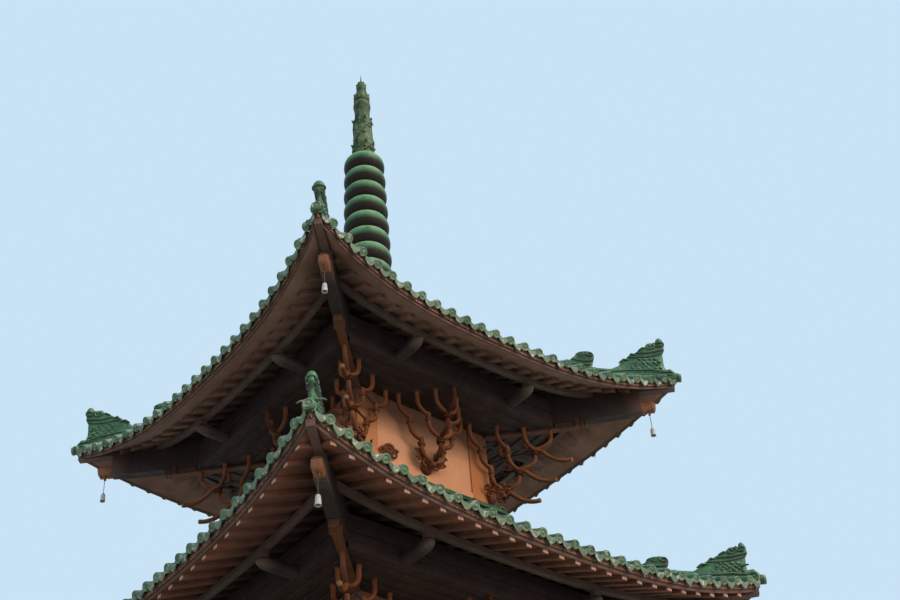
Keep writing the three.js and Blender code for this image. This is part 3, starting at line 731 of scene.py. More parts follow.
def doorway_carving():
    """Carved frame on the plain door surround: beads, a cornice with dentils, two rosettes and two feet."""
    form = Form()
    top = PLINTH_HEIGHT + DOOR_HEIGHT
    foot = PLINTH_HEIGHT + 0.16
    buried = -DOOR_FACE + 0.02
    for out, radius in DOOR_BEADS:
        half = DOOR_HALF + out
        for x in (-half, half):
            form.tube([(x, -DOOR_FACE, foot), (x, -DOOR_FACE, top + out)], radius, 12)
        across = half + radius
        form.tube([(-across, -DOOR_FACE, top + out), (across, -DOOR_FACE, top + out)], radius, 12)
    for side in (-1, 1):
        x = side * (DOOR_HALF + 0.055)
        form.block((x - 0.062, -DOOR_FACE - 0.03, PLINTH_HEIGHT + 0.006), (x + 0.062, buried, foot))
        form.turned((x, -DOOR_FACE + 0.005, top + 0.055), (0, -1, 0), ROSETTE, 20)
    for low, high, out in CORNICE:
        half = CORNICE_HALF + out / 2
        form.block((-half, -DOOR_FACE - out, top + low), (half, buried, top + high))
    for tooth in range(DENTIL_COUNT):
        x = -CORNICE_HALF + 2 * CORNICE_HALF * (tooth + 0.5) / DENTIL_COUNT
        form.block((x - 0.018, -DOOR_FACE - 0.045, top + 0.092), (x + 0.018, buried, top + 0.118))
    form.make("doorway_carving", BRACKET, "surround", sharp=40, bevel=0.003)


# Roof tiles

COVER_ARC = [math.radians(-32 + 244 * step / 7) for step in range(8)]
CAP_SIDES = 16
CAP_OUTLINE = [
    (0.002, 0.012), (0.012, 0.013), (0.019, 0.008), (0.024, 0.003), (0.038, 0.002), (0.043, 0.006),
    (0.047, 0.011), (0.057, 0.011), (0.062, 0.005), (0.062, -0.022), (0.05, -0.024),
]
DRIP_OUTLINE = [
    (-1.0, 0.0), (-0.96, -0.026), (-0.86, -0.042), (-0.7, -0.05), (-0.56, -0.06), (-0.36, -0.073),
    (-0.14, -0.08), (0.0, -0.086), (0.14, -0.08), (0.36, -0.073), (0.56, -0.06), (0.7, -0.05),
    (0.86, -0.042), (0.96, -0.026), (1.0, 0.0),
]


def row_stations(storey, x, spare):
    """Points up one row of tiles, a tile's length apart, from the eave to the hip or the ridge."""
    last = 1.0
    if abs(x) > storey.roof_half:
        last = (storey.corner - abs(x) - spare) / storey.span
    last = max(last, 0.03)
    first = max(EAVE_SETBACK, CORNER_SETBACK - edge_inset(storey, x / storey.corner)) / storey.span
    fine = [row_point(storey, x, first + (last - first) * step / 60) for step in range(61)]
    stations = [fine[0]]
    walked = 0.0
    for before, after in zip(fine, fine[1:]):
        walked += (after - before).length
        if walked >= TILE_LONG:
            stations.append(after)
            walked = 0.0
    if (stations[-1] - fine[-1]).length > 0.05 or len(stations) < 2:
        stations.append(fine[-1])
    return stations


def cover_tile(form, front, back):
    """One half-round cover tile with a lip at its lower end."""
    along = (back - front).normalized()
    up = slope_up(along)
    long = (back - front).length
    size = 1 + chance.uniform(-0.03, 0.03)
    sway = chance.uniform(-0.004, 0.004)
    rings = []
    stops = ((0, 0.048), (0, 0.063), (0.034, 0.063), (0.036, COVER_RADIUS), (long + 0.02, 0.053))
    for distance, radius in stops:
        centre = front + along * distance + up * COVER_LIFT + SIDEWAYS * sway
        rings.append([
            centre + (SIDEWAYS * math.cos(angle) + up * math.sin(angle)) * radius * size
            for angle in COVER_ARC
        ])
    form.loft(rings, wrap=False)


def pan_tile(form, front, back):
    """One concave pan tile, its lower end lying on the tile below."""
    along = (back - front).normalized()
    up = slope_up(along)
    long = (back - front).length
    tip = chance.uniform(-0.003, 0.003)
    rings = []
    for distance, lift in ((0, 0.002), (0, 0.018 + tip), (long, 0.004)):
        start = front + along * distance
        shares = [-1 + 2 * step / 5 for step in range(6)]
        rings.append([
            start + SIDEWAYS * share * PAN_HALF + up * (lift + 0.03 * share * share) for share in shares
        ])
    form.loft(rings, wrap=False)


def cap_disc(form, front, along):
    """Round cap that closes the lowest cover tile, with a raised rim, boss and petals."""
    up = slope_up(along)
    centre = front + up * COVER_LIFT
    angles = full_turn(CAP_SIDES, chance.uniform(0, 0.3))
    rings = []
    for radius, height in CAP_OUTLINE:
        ring = []
        for step, angle in enumerate(angles):
            petal = 0.0022 if step % 2 and 0.02 < radius < 0.045 else 0.0
            spoke = (SIDEWAYS * math.cos(angle) + up * math.sin(angle)) * radius * CAP_SIZE
            ring.append(centre - along * (height - 0.004 + petal) + spoke)
        rings.append(ring)
    form.loft(rings, end_cap=False)


def drip_tile(form, front, along, size):
    """Leaf-shaped drip plate that hangs from the lowest pan tile."""
    hang = (UPWARD * 0.7 + slope_up(along) * 0.3).normalized()
    out = SIDEWAYS.cross(hang).normalized()
    if out.y > 0:
        out = -out
    half = PAN_HALF * 1.02
    rings = []
    for depth, inset in ((-0.004, 0.94), (0.004, 1.0), (0.011, 0.96), (0.012, 0.8)):
        ring = []
        for across, drop in DRIP_OUTLINE:
            height = 0.016 + 0.024 * across * across + drop * inset * size
            ring.append(front + SIDEWAYS * (across * half * inset) + hang * height + out * depth)
        for across, _ in reversed(DRIP_OUTLINE[1:-1]):
            height = 0.024 + 0.03 * across * across
            ring.append(front + SIDEWAYS * across * half * inset + hang * height + out * depth)
        rings.append(ring)
    form.loft(rings)


def lime_drips(form, front, size):
    """Thin lime stalactites that hang from a few drip tiles."""
    for _ in range(chance.choice((0, 0, 0, 0, 1))):
        place = front + Vector((chance.uniform(-0.03, 0.03), 0.004, -0.055 * size))
        long = chance.uniform(0.02, 0.06)
        lean = Vector((chance.uniform(-0.008, 0.008), 0, -long))
        form.tube([place, place + lean * 0.5, place + lean], [0.007, 0.005, 0.0015], 5)


def tiled_side(storey):
    """Tiles, caps and drip plates of one side of a roof."""
    tiles, caps, drips = Form(), Form(), Form()
    rows = row_places(storey)
    for x in rows:
        stations = row_stations(storey, x, 0.05)
        for front, back in zip(stations, stations[1:]):
            cover_tile(tiles, front, back)
        cap_disc(caps, stations[0], (stations[1] - stations[0]).normalized())
    for x in rows[:-1]:
        stations = row_stations(storey, x + TILE_ROW / 2, 0.02)
        for front, back in zip(stations, stations[1:]):
            pan_tile(tiles, front, back)
        size = chance.uniform(0.9, 1.08)
        drip_tile(drips, stations[0], (stations[1] - stations[0]).normalized(), size)
        lime_drips(drips, stations[0], size)
    return tiles, caps, drips


def roof_tiles(storey):
    wholes = Form(), Form(), Form()
    for quarter in range(4):
        for whole, side in zip(wholes, tiled_side(storey)):
            whole.merge(side, quarter)
    tiles, caps, drips = wholes
    piece = tiles.make(f"tiles_{storey.number}", GLAZE_ROOF, "glaze", sharp=50)
    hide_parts(f"roof_{storey.number}")
    caps.make(f"tile_caps_{storey.number}", GLAZE_CAP, "glaze", sharp=60)
    drips.make(f"drip_tiles_{storey.number}", GLAZE_DRIP, "glaze", sharp=60)


# Mortar bed, boards and rafters

BED_INSET = 0.075
BOARD_INSET = 0.115
BOARD_STATIONS = [0, 0.04, 0.08, 0.12, 0.3, 0.6, 1]
RAFTER_STEPS = 9
SHELL_STEPS = 40


def side_shell(surface, top, bottom, runs):
    """Closed shell of one side between two drops of a surface that is given by share, run and drop."""
    form = Form()
    rings = []
    for step in range(SHELL_STEPS + 1):
        share = -1 + 2 * step / SHELL_STEPS
        ring = [surface(share, run, top) for run in runs]
        ring += [surface(share, run, bottom) for run in reversed(runs)]
        rings.append(ring)
    form.loft(rings)
    return form


def roof_bed(storey):
    """Mortar bed under the tiles, and the boards that show below it."""
    def bed_point(share, run, drop):
        return roof_point(storey, share, run, -drop)

    def board_point(share, part, drop):
        start = BOARD_INSET / storey.span
        return deck_point(storey, share, start + (last_run(storey, share) - start) * part, drop)

    first = BED_INSET / storey.span
    bed_runs = [first + (1 - first) * step / 8 for step in range(9)]
    bed = side_shell(bed_point, 0.004, 0.07, bed_runs)
    bed.around().make(f"mortar_bed_{storey.number}", MORTAR, "glaze", sharp=30)
    edge = side_shell(bed_point, 0.06, 0.125, [0.1 / storey.span, 0.135 / storey.span])
    edge.around().make(f"edge_board_{storey.number}", BEAM, "eave_paint", sharp=30)
    # The weathered tones are the paler paint at the edge, painted light where light reaches under the eave.
    weathered = ((0.17, 0.065, 0.04), (0.28, 0.115, 0.072))
    if storey.on_top:
        weathered = ((0.19, 0.1, 0.072), (0.32, 0.178, 0.132))
    paint = eave_paint(
        "soffit boards", storey, ((0.055, 0.036, 0.032), (0.09, 0.056, 0.048)), weathered, (0.3, 0.18, 0.12),
        *storey.lit_band,
    )
    boards = side_shell(board_point, DECK_BITE, DECK_BITE + BOARD_THICK, BOARD_STATIONS)
    piece = boards.around().make(f"soffit_boards_{storey.number}", paint, "eave_paint", sharp=30)
    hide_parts(f"eave_deck_{storey.number}")


def rafter(storey, x, first, last):
    """Rings of one squared rafter that follows the boards from one run to another."""
    drops = (DECK_BITE + BOARD_THICK - 0.004, RAFTER_BOTTOM)
    rings = []
    for step in range(RAFTER_STEPS + 1):
        run = first + (last - first) * step / RAFTER_STEPS
        ring = []
        for across, drop in ((-1, drops[0]), (-1, drops[1]), (1, drops[1]), (1, drops[0])):
            place = deck_point(storey, share_at(storey, x, run), run, drop)
            place.x = x + across * RAFTER_WIDE / 2
            ring.append(place)
        rings.append(ring)
    return rings


def rafters(storey):
    """Squared rafters under the boards, one to each tile row, with their pale cut ends."""
    rows = Form()
    ends = Form()
    first = storey.rafter_inset / storey.span
    for row in row_places(storey)[:-1]:
        x = row + TILE_ROW / 2
        last = deck_last_run(storey, x) - 0.01
        if last - first < 0.03:
            continue
        rings = rafter(storey, x, first, last)
        rows.loft(rings)
        middle = sum(rings[0], Vector()) / 4
        plate = []
        for point in rings[0]:
            away = point - middle
            plate.append(middle + Vector((away.x * 0.85, away.y - 0.003, away.z * 0.62)))
        ends.loft([plate, [point + Vector((0, 0.006, 0)) for point in plate]])
    rows.around().make(f"rafters_{storey.number}", storey.rafter_paint, "eave_paint", sharp=30)
    ends.around().make(f"rafter_ends_{storey.number}", storey.rafter_end_paint, "eave_paint", sharp=30)


# Brackets

# Outlines of turned pieces hold (radius, distance along the axis), the horn's line (distance out, height)
HORN_LINE = [(0, -0.01), (0.09, -0.045), (0.17, -0.125), (0.28, -0.205), (0.4, -0.24), (0.5, -0.235)]
ARM_END = [(0.042, 0.0), (0.043, 0.014), (0.037, 0.021), (0.026, 0.026)]
ARM_CUP = [(0.004, 0.038), (0.027, 0.03), (0.036, 0.0), (0.033, -0.04), (0.028, -0.06)]
MIDDLE_CUP = [(0.004, 0.045), (0.034, 0.036), (0.05, 0.0), (0.042, -0.04), (0.03, -0.07)]
HIP_CUP = [(0.004, 0.05), (0.036, 0.04), (0.05, 0.0), (0.046, -0.05), (0.03, -0.08)]
HIP_ROOT = [(0.09, 0), (0.115, 0.03), (0.1, 0.07), (0.06, 0.1), (0.03, 0.115)]
MIDDLE_CARVING = [  # level, out from the middle of the wall, size
    (-0.03, 0.1, 0.05), (0.06, 0.15, 0.055), (0.16, 0.12, 0.05),
    (0.02, 0.2, 0.04), (0.13, 0.22, 0.042), (0.24, 0.17, 0.04),
]
LEAF_CARVING = [  # across, level, size, tilt
    (0.0, 0.03, 0.07, 0.3), (0.1, -0.02, 0.055, 0.8), (-0.09, -0.01, 0.05, -0.5),
]
CORNER_CARVING = [  # out from the wall, across the hip, level, size
    (0.0, -0.16, -0.03, 0.045), (0.03, -0.1, -0.1, 0.05), (0.05, -0.08, 0.03, 0.045),
    (0.09, -0.09, -0.04, 0.055), (0.12, -0.06, -0.13, 0.05), (0.14, -0.07, 0.02, 0.045),
    (0.18, -0.05, -0.08, 0.05), (0.21, -0.05, -0.01, 0.04),
]
HIP_MOULDING = [  # distance from the end, half width, rise of the underside
    (-0.17, 0.074, 0.0), (-0.12, 0.074, 0.002), (-0.115, 0.056, 0.012), (-0.095, 0.056, 0.012),
    (-0.09, 0.064, 0.0), (-0.06, 0.064, 0.0), (-0.055, 0.05, 0.014), (-0.03, 0.05, 0.014),
    (-0.022, 0.06, 0.004), (0.0, 0.06, 0.006), (0.008, 0.045, 0.03),
]
HIP_COURSE_HALF = 0.052
HIP_COURSE_TALL = 0.13
COLLAR_FOOT = -0.03
COLLAR_PITCH = 0.026
HORN_TIP_SECTION = [  # share of the radius, distance past the end
    (0.9, -0.02), (1.04, -0.016), (1.04, 0.004), (0.85, 0.015),
]
TIE_RADIUS = 0.015
TIE_SAG = Vector((0, 0, -0.012))
SCROLL_TURNS = 1.35
SCROLL_STEPS = 15


def arm_path(start, end, upright=0.42, steps=7):
    """Quarter round that leaves its collar level, then runs straight up to its end."""
    start = Vector(start)
    end = Vector(end)
    flat = Vector((end.x - start.x, end.y - start.y, 0))
    bend = (end.z - start.z) * (1 - upright)
    path = []
    for step in range(steps + 1):
        angle = math.pi / 2 * step / steps
        path.append(start + flat * math.sin(angle) + Vector((0, 0, bend * (1 - math.cos(angle)))))
    path.append(end)
    return path


def smooth(points, parts=4):
    """Path that runs smoothly through its points."""
    points = [Vector(point) for point in points]
    path = []
    for index in range(len(points) - 1):
        before = points[max(index - 1, 0)]
        start, end = points[index:index + 2]
        after = points[min(index + 2, len(points) - 1)]
        for part in range(parts):
            share = part / parts
            path.append(0.5 * (
                2 * start + (end - before) * share + (2 * before - 5 * start + 4 * end - after) * share ** 2
                + (3 * start - before - 3 * end + after) * share ** 3
            ))
    path.append(points[-1])
    return path


def collar(form, place, radius, rings):
    """Stack of turned rings round a stem."""
    outline = [(radius * 0.8, COLLAR_FOOT)]
    for ring in range(rings):
        base = COLLAR_FOOT + ring * COLLAR_PITCH
        for swell, height in ((1.12, 0.003), (1.34, 0.012), (1.12, 0.021)):
            outline.append((radius * swell, base + height))
    outline.append((radius * 0.8, COLLAR_FOOT + rings * COLLAR_PITCH))
    form.turned(place, (0, 0, 1), outline, 10)


def horn(form, tips, reach, level):
    """Blunt horn that leaves its collar, runs out over the hip and sags to its pale tip."""
    path = smooth([on_hip(reach + along, 0, level + height) for along, height in HORN_LINE])
    last = len(path) - 1
    form.tube(path, [ARM_RADIUS * (1.12 - 0.1 * index / last) for index in range(last + 1)], 12)
    end = ARM_RADIUS * 1.03
    outline = [(end * share, distance) for share, distance in HORN_TIP_SECTION]
    tips.turned(path[-1], path[-1] - path[-2], outline + [(0.004, 0.021)], 12)


def scroll(form, centre, plane_x, plane_z, size, thick):
    """Flat carved scroll: a bar that winds in on itself."""
    centre = Vector(centre)
    plane_x = Vector(plane_x)
    plane_z = Vector(plane_z)
    path = []
    radii = []
    for step in range(SCROLL_STEPS + 1):
        share = step / SCROLL_STEPS
        angle = share * SCROLL_TURNS * 2 * math.pi
        reach = size * (1 - 0.72 * share)
        path.append(centre + plane_x * math.cos(angle) * reach + plane_z * math.sin(angle) * reach)
        radii.append(thick * (1 - 0.45 * share))
    form.tube(path, radii, 7)


def lattice(storey, place, form, ties=None):
    """Tiers of U arms that step out and up. place(tier, step) gives each collar, ties takes the tie bars."""
    levels = [storey.eave + level for level in BRACKET_LEVELS]
    tiers = len(levels) - 1
    for tier in range(tiers):
        highest = tier == tiers - 1
        top = storey.eave + CEILING_LEVEL + 0.01 if highest else levels[tier + 1] - 0.035
        for step in range(tier + 1):
            foot = Vector((*place(tier, step), levels[tier]))
            for branch in ((0, 1) if step == 0 else (1,)):
                tip = Vector((*place(tier + 1, step + branch), top))
                form.tube(arm_path(foot, tip), ARM_RADIUS, 9)
                if highest:
                    form.turned(tip, (0, 0, -1), ARM_END, 10)
    for tier in range(1, tiers):
        for step in range(tier + 1):
            here = Vector((*place(tier, step), levels[tier]))
            form.turned(here, (0, 0, 1), ARM_CUP, 12)
            swell, rings = (1.2, 2) if step else (1.42, 3)
            collar(form, here + Vector((0, 0, -0.08)), ARM_RADIUS * swell, rings)
            if step and ties:
                other = Vector((*place(tier, step - 1), levels[tier]))
                ties.tube([here, (here + other) / 2 + TIE_SAG, other], TIE_RADIUS, 8)


def middle_set(storey):
    """Bracket set at the middle of a side."""
    form = Form()
    first = storey.wall + MIDDLE_REACH
    for side in (-1, 1):
        def place(tier, step, side=side):
            return (side * step * BRACKET_STEP, -(first + (tier - step) * BRACKET_STEP))
        lattice(storey, place, form)
    foot = storey.eave + BRACKET_LEVELS[0]
    stem = arm_path((0, -storey.wall, foot - 0.06), (0, -first, foot + 0.02), 0.1)
    form.tube(stem, ARM_RADIUS * 1.3, 12)
    form.turned((0, -first, foot), (0, 0, 1), MIDDLE_CUP, 12)
    for level, size in ((-0.03, 0.085), (0.035, 0.07)):
        outline = [(size, 0), (size * 1.05, 0.03), (size, 0.06), (size * 0.8, 0.085), (size * 0.4, 0.1)]
        form.turned((0, -storey.wall + 0.01, foot + level), (0, -1, 0), outline, 14)
    for side in (-1, 1):
        for level, out, size in MIDDLE_CARVING:
            centre = (side * out, -storey.wall - 0.09 - out * 0.2, foot + level)
            scroll(form, centre, (side, -0.3, 0), (0, 0, 1), size, size * 0.4)
    leaf = -(storey.wall - 0.44)
    for across, level, size, tilt in LEAF_CARVING:
        centre = (leaf + across, -storey.wall - 0.055, foot + level)
        scroll(form, centre, (1, -0.25, tilt), (-tilt, -0.2, 1), size, size * 0.42)
    return form


def corner_set(storey):
    """Bracket set at the front right corner, the half on the side that faces -Y, and its dark tie bars."""
    form = Form()
    ties = Form()

    def place(tier, step):
        reach = storey.wall + CORNER_REACH + tier * BRACKET_STEP
        return (reach - step * CORNER_LATERAL, -(reach - step * BRACKET_STEP))
    lattice(storey, place, form, ties)
    foot = storey.eave + BRACKET_LEVELS[0]
    for out, across, level, size in CORNER_CARVING:
        tilt = 0.5 * math.sin(out * 40)
        centre = on_hip((storey.wall + out) * ROOT_TWO, across, foot + level)
        scroll(form, centre, on_hip(1, -0.3, tilt), on_hip(-tilt, -0.3, 1), size, size * 0.4)
    return form, ties


def hip_section(along, half, low, high):
    """Four corners of a squared section across the front right hip."""
    corners = ((-half, low), (half, low), (half, high), (-half, high))
    return [on_hip(along, across, z) for across, z in corners]


def hip_set(storey):
    """What a bracket set has on the hip itself: its foot, its horns, their tips and the moulded course."""
    form = Form()
    tips = Form()
    course = Form()
    foot = storey.eave + BRACKET_LEVELS[0]
    root = (storey.wall + PILASTER_PROUD) * ROOT_TWO
    first = (storey.wall + CORNER_REACH) * ROOT_TWO
    start = on_hip(root - 0.02, 0, foot - 0.12)
    form.tube(arm_path(start, on_hip(first, 0, foot + 0.02), 0.1), ARM_RADIUS * 1.7, 12)
    form.turned(on_hip(first, 0, foot), (0, 0, 1), HIP_CUP, 12)
    form.turned(start, on_hip(1, 0, -0.25), HIP_ROOT, 14)
    for tier in range(3):
        reach = (storey.wall + CORNER_REACH + tier * BRACKET_STEP) * ROOT_TWO
        horn(form, tips, reach, storey.eave + BRACKET_LEVELS[tier])
    base = storey.eave + CORNER_BEAM_BASE
    top = base + HIP_COURSE_TALL
    bend = storey.corner - CORNER_BEAM_BEND
    end = bend * ROOT_TWO
    course.loft([hip_section(end + along, half, base + rise, top) for along, half, rise in HIP_MOULDING])
    stop = (bend - 0.06) * ROOT_TWO
    course.loft([hip_section(along, HIP_COURSE_HALF, base, top) for along in (root, stop)])
    return form, tips, course


# Timbers under the eaves

STACK = [  # height of the middle over the ceiling, width, height
    (0.175, 0.09, 0.11), (0.30, 0.11, 0.12), (0.41, 0.09, 0.1),
]
OUTER_PURLIN_HALF = 0.04
OUTER_PURLIN_TALL = 0.075
BEAM_HALF_WIDE = 0.075
BEAM_HALF_TALL = 0.07
CORNER_BEAM_HALF = 0.07
TAIL_HALF = 0.05
HEAD_START = 0.84
HEAD_STATIONS = (0, 0.3, 0.6, HEAD_START, 0.9, 0.945, 0.975, 0.993, 1.0)
BEAM_HEAD = [  # distance from the neck, rise of the underside
    (0.0, 0.03), (0.006, 0.0), (0.075, 0.0), (0.08, 0.012), (0.095, 0.012), (0.1, 0.0), (0.135, 0.002),
    (0.14, 0.014), (0.152, 0.014), (0.157, 0.002), (0.185, 0.01), (0.2, 0.035), (0.207, 0.07), (0.21, 0.1),
]


def squared_round(angle, power):
    """Cosine and sine of an angle, drawn out towards the corners of a square."""
    across = math.copysign(abs(math.cos(angle)) ** power, math.cos(angle))
    tall = math.copysign(abs(math.sin(angle)) ** power, math.sin(angle))
    return across, tall


def ceiling(storey):
    """Parallel purlins on the brackets, the boards over them, and the stack on the outermost one."""
    form = Form()
    base = storey.eave + CEILING_LEVEL
    level = base + PURLIN_WIDE / 2
    wall = storey.wall
    outer = wall + MIDDLE_REACH + 3 * BRACKET_STEP
    for step in range(4):
        reach = wall + MIDDLE_REACH + step * BRACKET_STEP
        half = reach + PURLIN_WIDE / 2
        form.bar((-half, -reach, level), (half, -reach, level), PURLIN_WIDE, PURLIN_WIDE)
    form.loft([
        [(-outer, -outer, z), (outer, -outer, z), (wall, -wall, z), (-wall, -wall, z)]
        for z in (base + 0.012, base + 0.045)
    ])
    for middle, wide, tall in STACK:
        half = outer + wide / 2
        form.bar((-half, -outer, base + middle), (half, -outer, base + middle), wide, tall)
    return form


def cantilever(storey, x):
    """Rings of one cantilever beam with its rounded head."""
    level = storey.eave + BEAM_LEVEL
    head = storey.corner - BEAM_HEAD_INSET
    rings = []
    for share in HEAD_STATIONS:
        reach = storey.wall + (head - storey.wall) * share
        swell = 1.0
        if share > HEAD_START:
            swell = math.sqrt(max(0.02, 1 - ((share - HEAD_START) / (1 - HEAD_START)) ** 2))
        ring = []
        for angle in full_turn(12):
            across, tall = squared_round(angle, 0.6)
            ring.append((x + across * BEAM_HALF_WIDE * swell, -reach, level + tall * BEAM_HALF_TALL * swell))
        rings.append(ring)
    return rings


def cantilevers(storey):
    """Outer purlin that follows the eave, and the cantilever beams that carry it on their blocks."""
    form = Form()
    outer = storey.corner - OUTER_PURLIN_INSET
    inside = -outer + OUTER_PURLIN_HALF
    outside = -outer - OUTER_PURLIN_HALF
    rings = []
    for step in range(25):
        x = outer * (-1 + step / 12)
        top = deck_under(storey, x, outer) + 0.012
        base = top - OUTER_PURLIN_TALL
        rings.append([(x, outside, base), (x, inside, base), (x, inside, top), (x, outside, top)])
    form.loft(rings)
    block_foot = storey.eave + BEAM_LEVEL + 0.06
    for side in (-1, 1):
        x = side * (storey.wall + PILASTER_PROUD - PILASTER_WIDE / 2)
        form.loft(cantilever(storey, x))
        under = deck_under(storey, x, outer)
        form.block((x - 0.05, -outer - 0.045, block_foot), (x + 0.05, -outer + 0.045, under - 0.05))
    return form


def corner_beam(storey):
    """Beam under one hip, out to its moulded head, and the thin tail beyond it."""
    form = Form()
    start = storey.wall + PILASTER_PROUD
    bend = storey.corner - CORNER_BEAM_BEND
    neck = storey.corner - HEAD_INSET - HEAD_LONG / ROOT_TWO
    outer = storey.corner - 0.1

    def top(reach):
        first = BOARD_INSET / storey.span
        last = (storey.corner - storey.wall) / storey.span
        run = clamp((storey.corner - reach) / storey.span, first, last)
        return deck_point(storey, 1, run).z - BOARD_THICK - DECK_BITE

    def low(reach):
        share = clamp((reach - bend) / (neck - bend), 0, 1)
        upper = CORNER_BEAM_BASE + CORNER_BEAM_STEP
        return storey.eave + upper + (HEAD_BOTTOM - upper) * share * share

    rings = []
    for step in range(10):
        reach = start + (neck - start) * step / 9
        rings.append(hip_section(reach * ROOT_TWO, CORNER_BEAM_HALF, low(reach), top(reach)))
    form.loft(rings)
    tail = []
    for step in range(7):
        reach = neck + (outer - neck) * step / 6
        deep = 0.11 - 0.05 * step / 6
        tail.append(hip_section(reach * ROOT_TWO, TAIL_HALF, top(reach) - deep, top(reach) + 0.03))
    form.loft(tail)
    return form


def beam_head(storey):
    """Moulded orange head of a corner beam, with the hanger and the pin of its bell."""
    form = Form()
    neck = (storey.corner - HEAD_INSET) * ROOT_TWO - HEAD_LONG
    bottom = storey.eave + HEAD_BOTTOM
    rings = []
    for distance, rise in BEAM_HEAD:
        along = neck + distance
        half = 0.062 if distance < 0.19 else 0.052
        peak = bottom + 0.165 - 0.6 * max(0, distance - 0.15)
        rings.append([on_hip(along, across, z) for across, z in (
            (-half, bottom + rise + 0.02), (-half * 0.7, bottom + rise),
            (half * 0.7, bottom + rise), (half, bottom + rise + 0.02),
            (half, peak - 0.02), (half * 0.7, peak), (-half * 0.7, peak), (-half, peak - 0.02),
        )])
    form.loft(rings)
    hang = (storey.corner - BELL_INSET) * ROOT_TWO
    pin = bottom - PIN_DROP
    for across in (-0.016, 0.016):
        foot = on_hip(hang, across, pin - 0.015)
        form.bar(foot, on_hip(hang, across, bottom + 0.01), 0.008, 0.03, on_hip(1, 0, 0))
    form.turned(on_hip(hang, -0.02, pin), on_hip(0, 1, 0), [(0.006, 0), (0.006, 0.04)], 12)
    return form


def eave_pieces(storey):
    """Brackets, horns, purlins and beams under one storey's eaves."""
    number = storey.number
    arms = Form()
    arms.merge(middle_set(storey))
    corner, ties = corner_set(storey)
    arms.merge(corner)
    arms.merge(corner.hip_mirrored())
    hip, tips, course = hip_set(storey)
    arms.merge(hip)
    piece = arms.around().make(f"bracket_arms_{number}", BRACKET, "bracket_paint", sharp=50)
    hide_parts(f"brackets_{number}")
    tips.around().make(f"horn_tips_{number}", HORN_TIP, "bracket_paint", sharp=50)
    course.around().make(f"hip_courses_{number}", HIP_COURSE, "bracket_paint", sharp=40)
    dark = ceiling(storey)
    dark.merge(ties)
    dark.merge(ties.hip_mirrored())
    dark.around().make(f"timbers_{number}", TIMBER, "eave_paint", sharp=40, bevel=0.006)
    # Cantilevers dark as painted shade, with only their heads at the edge paler as painted light.
    paint = eave_paint(
        "cantilevers", storey, ((0.028, 0.018, 0.016), (0.055, 0.032, 0.028)),
        ((0.09, 0.055, 0.043), (0.14, 0.09, 0.07)), (0.17, 0.1, 0.075), 1.05, 0.85,
    )
    cantilevers(storey).around().make(f"cantilevers_{number}", paint, "eave_paint", sharp=40)
    # Corner beams dark as painted shade by the wall, and paler near the corner as painted light.
    paint = eave_paint(
        "corner beams", storey, ((0.022, 0.014, 0.013), (0.045, 0.027, 0.023)),
        ((0.09, 0.05, 0.038), (0.15, 0.085, 0.066)), (0.15, 0.085, 0.065), 0.62, 0.34,
    )
    corner_beam(storey).around().make(f"corner_beams_{number}", paint, "eave_paint", sharp=40)
    beam_head(storey).around().make(f"beam_heads_{number}", HEAD, "bracket_paint", sharp=50)


# Bells

EYE_RADIUS = 0.0125
CLAPPER = [(0.003, 0.016), (0.01, 0.01), (0.012, 0), (0.009, -0.01), (0.002, -0.014)]


def bells(storey):
    """Wind bells of one storey's four corners, each on its wire with a clapper inside."""
    reach = (storey.corner - BELL_INSET) * ROOT_TWO
    eye = storey.eave + HEAD_BOTTOM - PIN_DROP - 0.0017
    top = storey.eave + HEAD_BOTTOM - BELL_DROP
    low = top - BELL_HEIGHT
    wire = Form()
    loop = []
    for step in range(17):
        angle = 2 * math.pi * step / 16
        loop.append(on_hip(reach + math.sin(angle) * EYE_RADIUS, 0, eye + math.cos(angle) * EYE_RADIUS))
    wire.tube(loop, 0.0042, 8)
    wire.tube([on_hip(reach, 0, eye - 0.013), on_hip(reach, 0, top - 0.002)], 0.0045, 8)
    wire.tube([on_hip(reach, 0, top - 0.018), on_hip(reach, 0, low + 0.03)], 0.0025, 6)
    wire.turned(on_hip(reach, 0, low + 0.02), (0, 0, 1), CLAPPER, 12)
    bell = Form()
    bell.turned(on_hip(reach, 0, 0), (0, 0, 1), [
        (0.005, top), (0.012, top - 0.001), (0.022, top - 0.006), (0.028, top - 0.018), (0.031, top - 0.042),
        (0.0325, top - 0.045), (0.031, top - 0.048), (0.034, top - 0.085), (0.036, low + 0.014),
        (BELL_RADIUS, low), (0.0345, low), (0.031, low + 0.02), (0.026, top - 0.05), (0.02, top - 0.022),
        (0.002, top - 0.019),
    ], 24)
    for quarter, corner in enumerate(("front_right", "back_right", "back_left", "front_left")):
        name = f"bell_{storey.number}_{corner}"
        one = Form()
        one.merge(bell, quarter)
        piece = one.make(f"wind_{name}", BELL, "bell_metal", body=name, sharp=40)
        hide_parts(name)
        hanger = Form()
        hanger.merge(wire, quarter)
        hanger.make(f"wire_of_{name}", WIRE, "bell_metal", body=name, sharp=40)


# Ridges and their ornaments

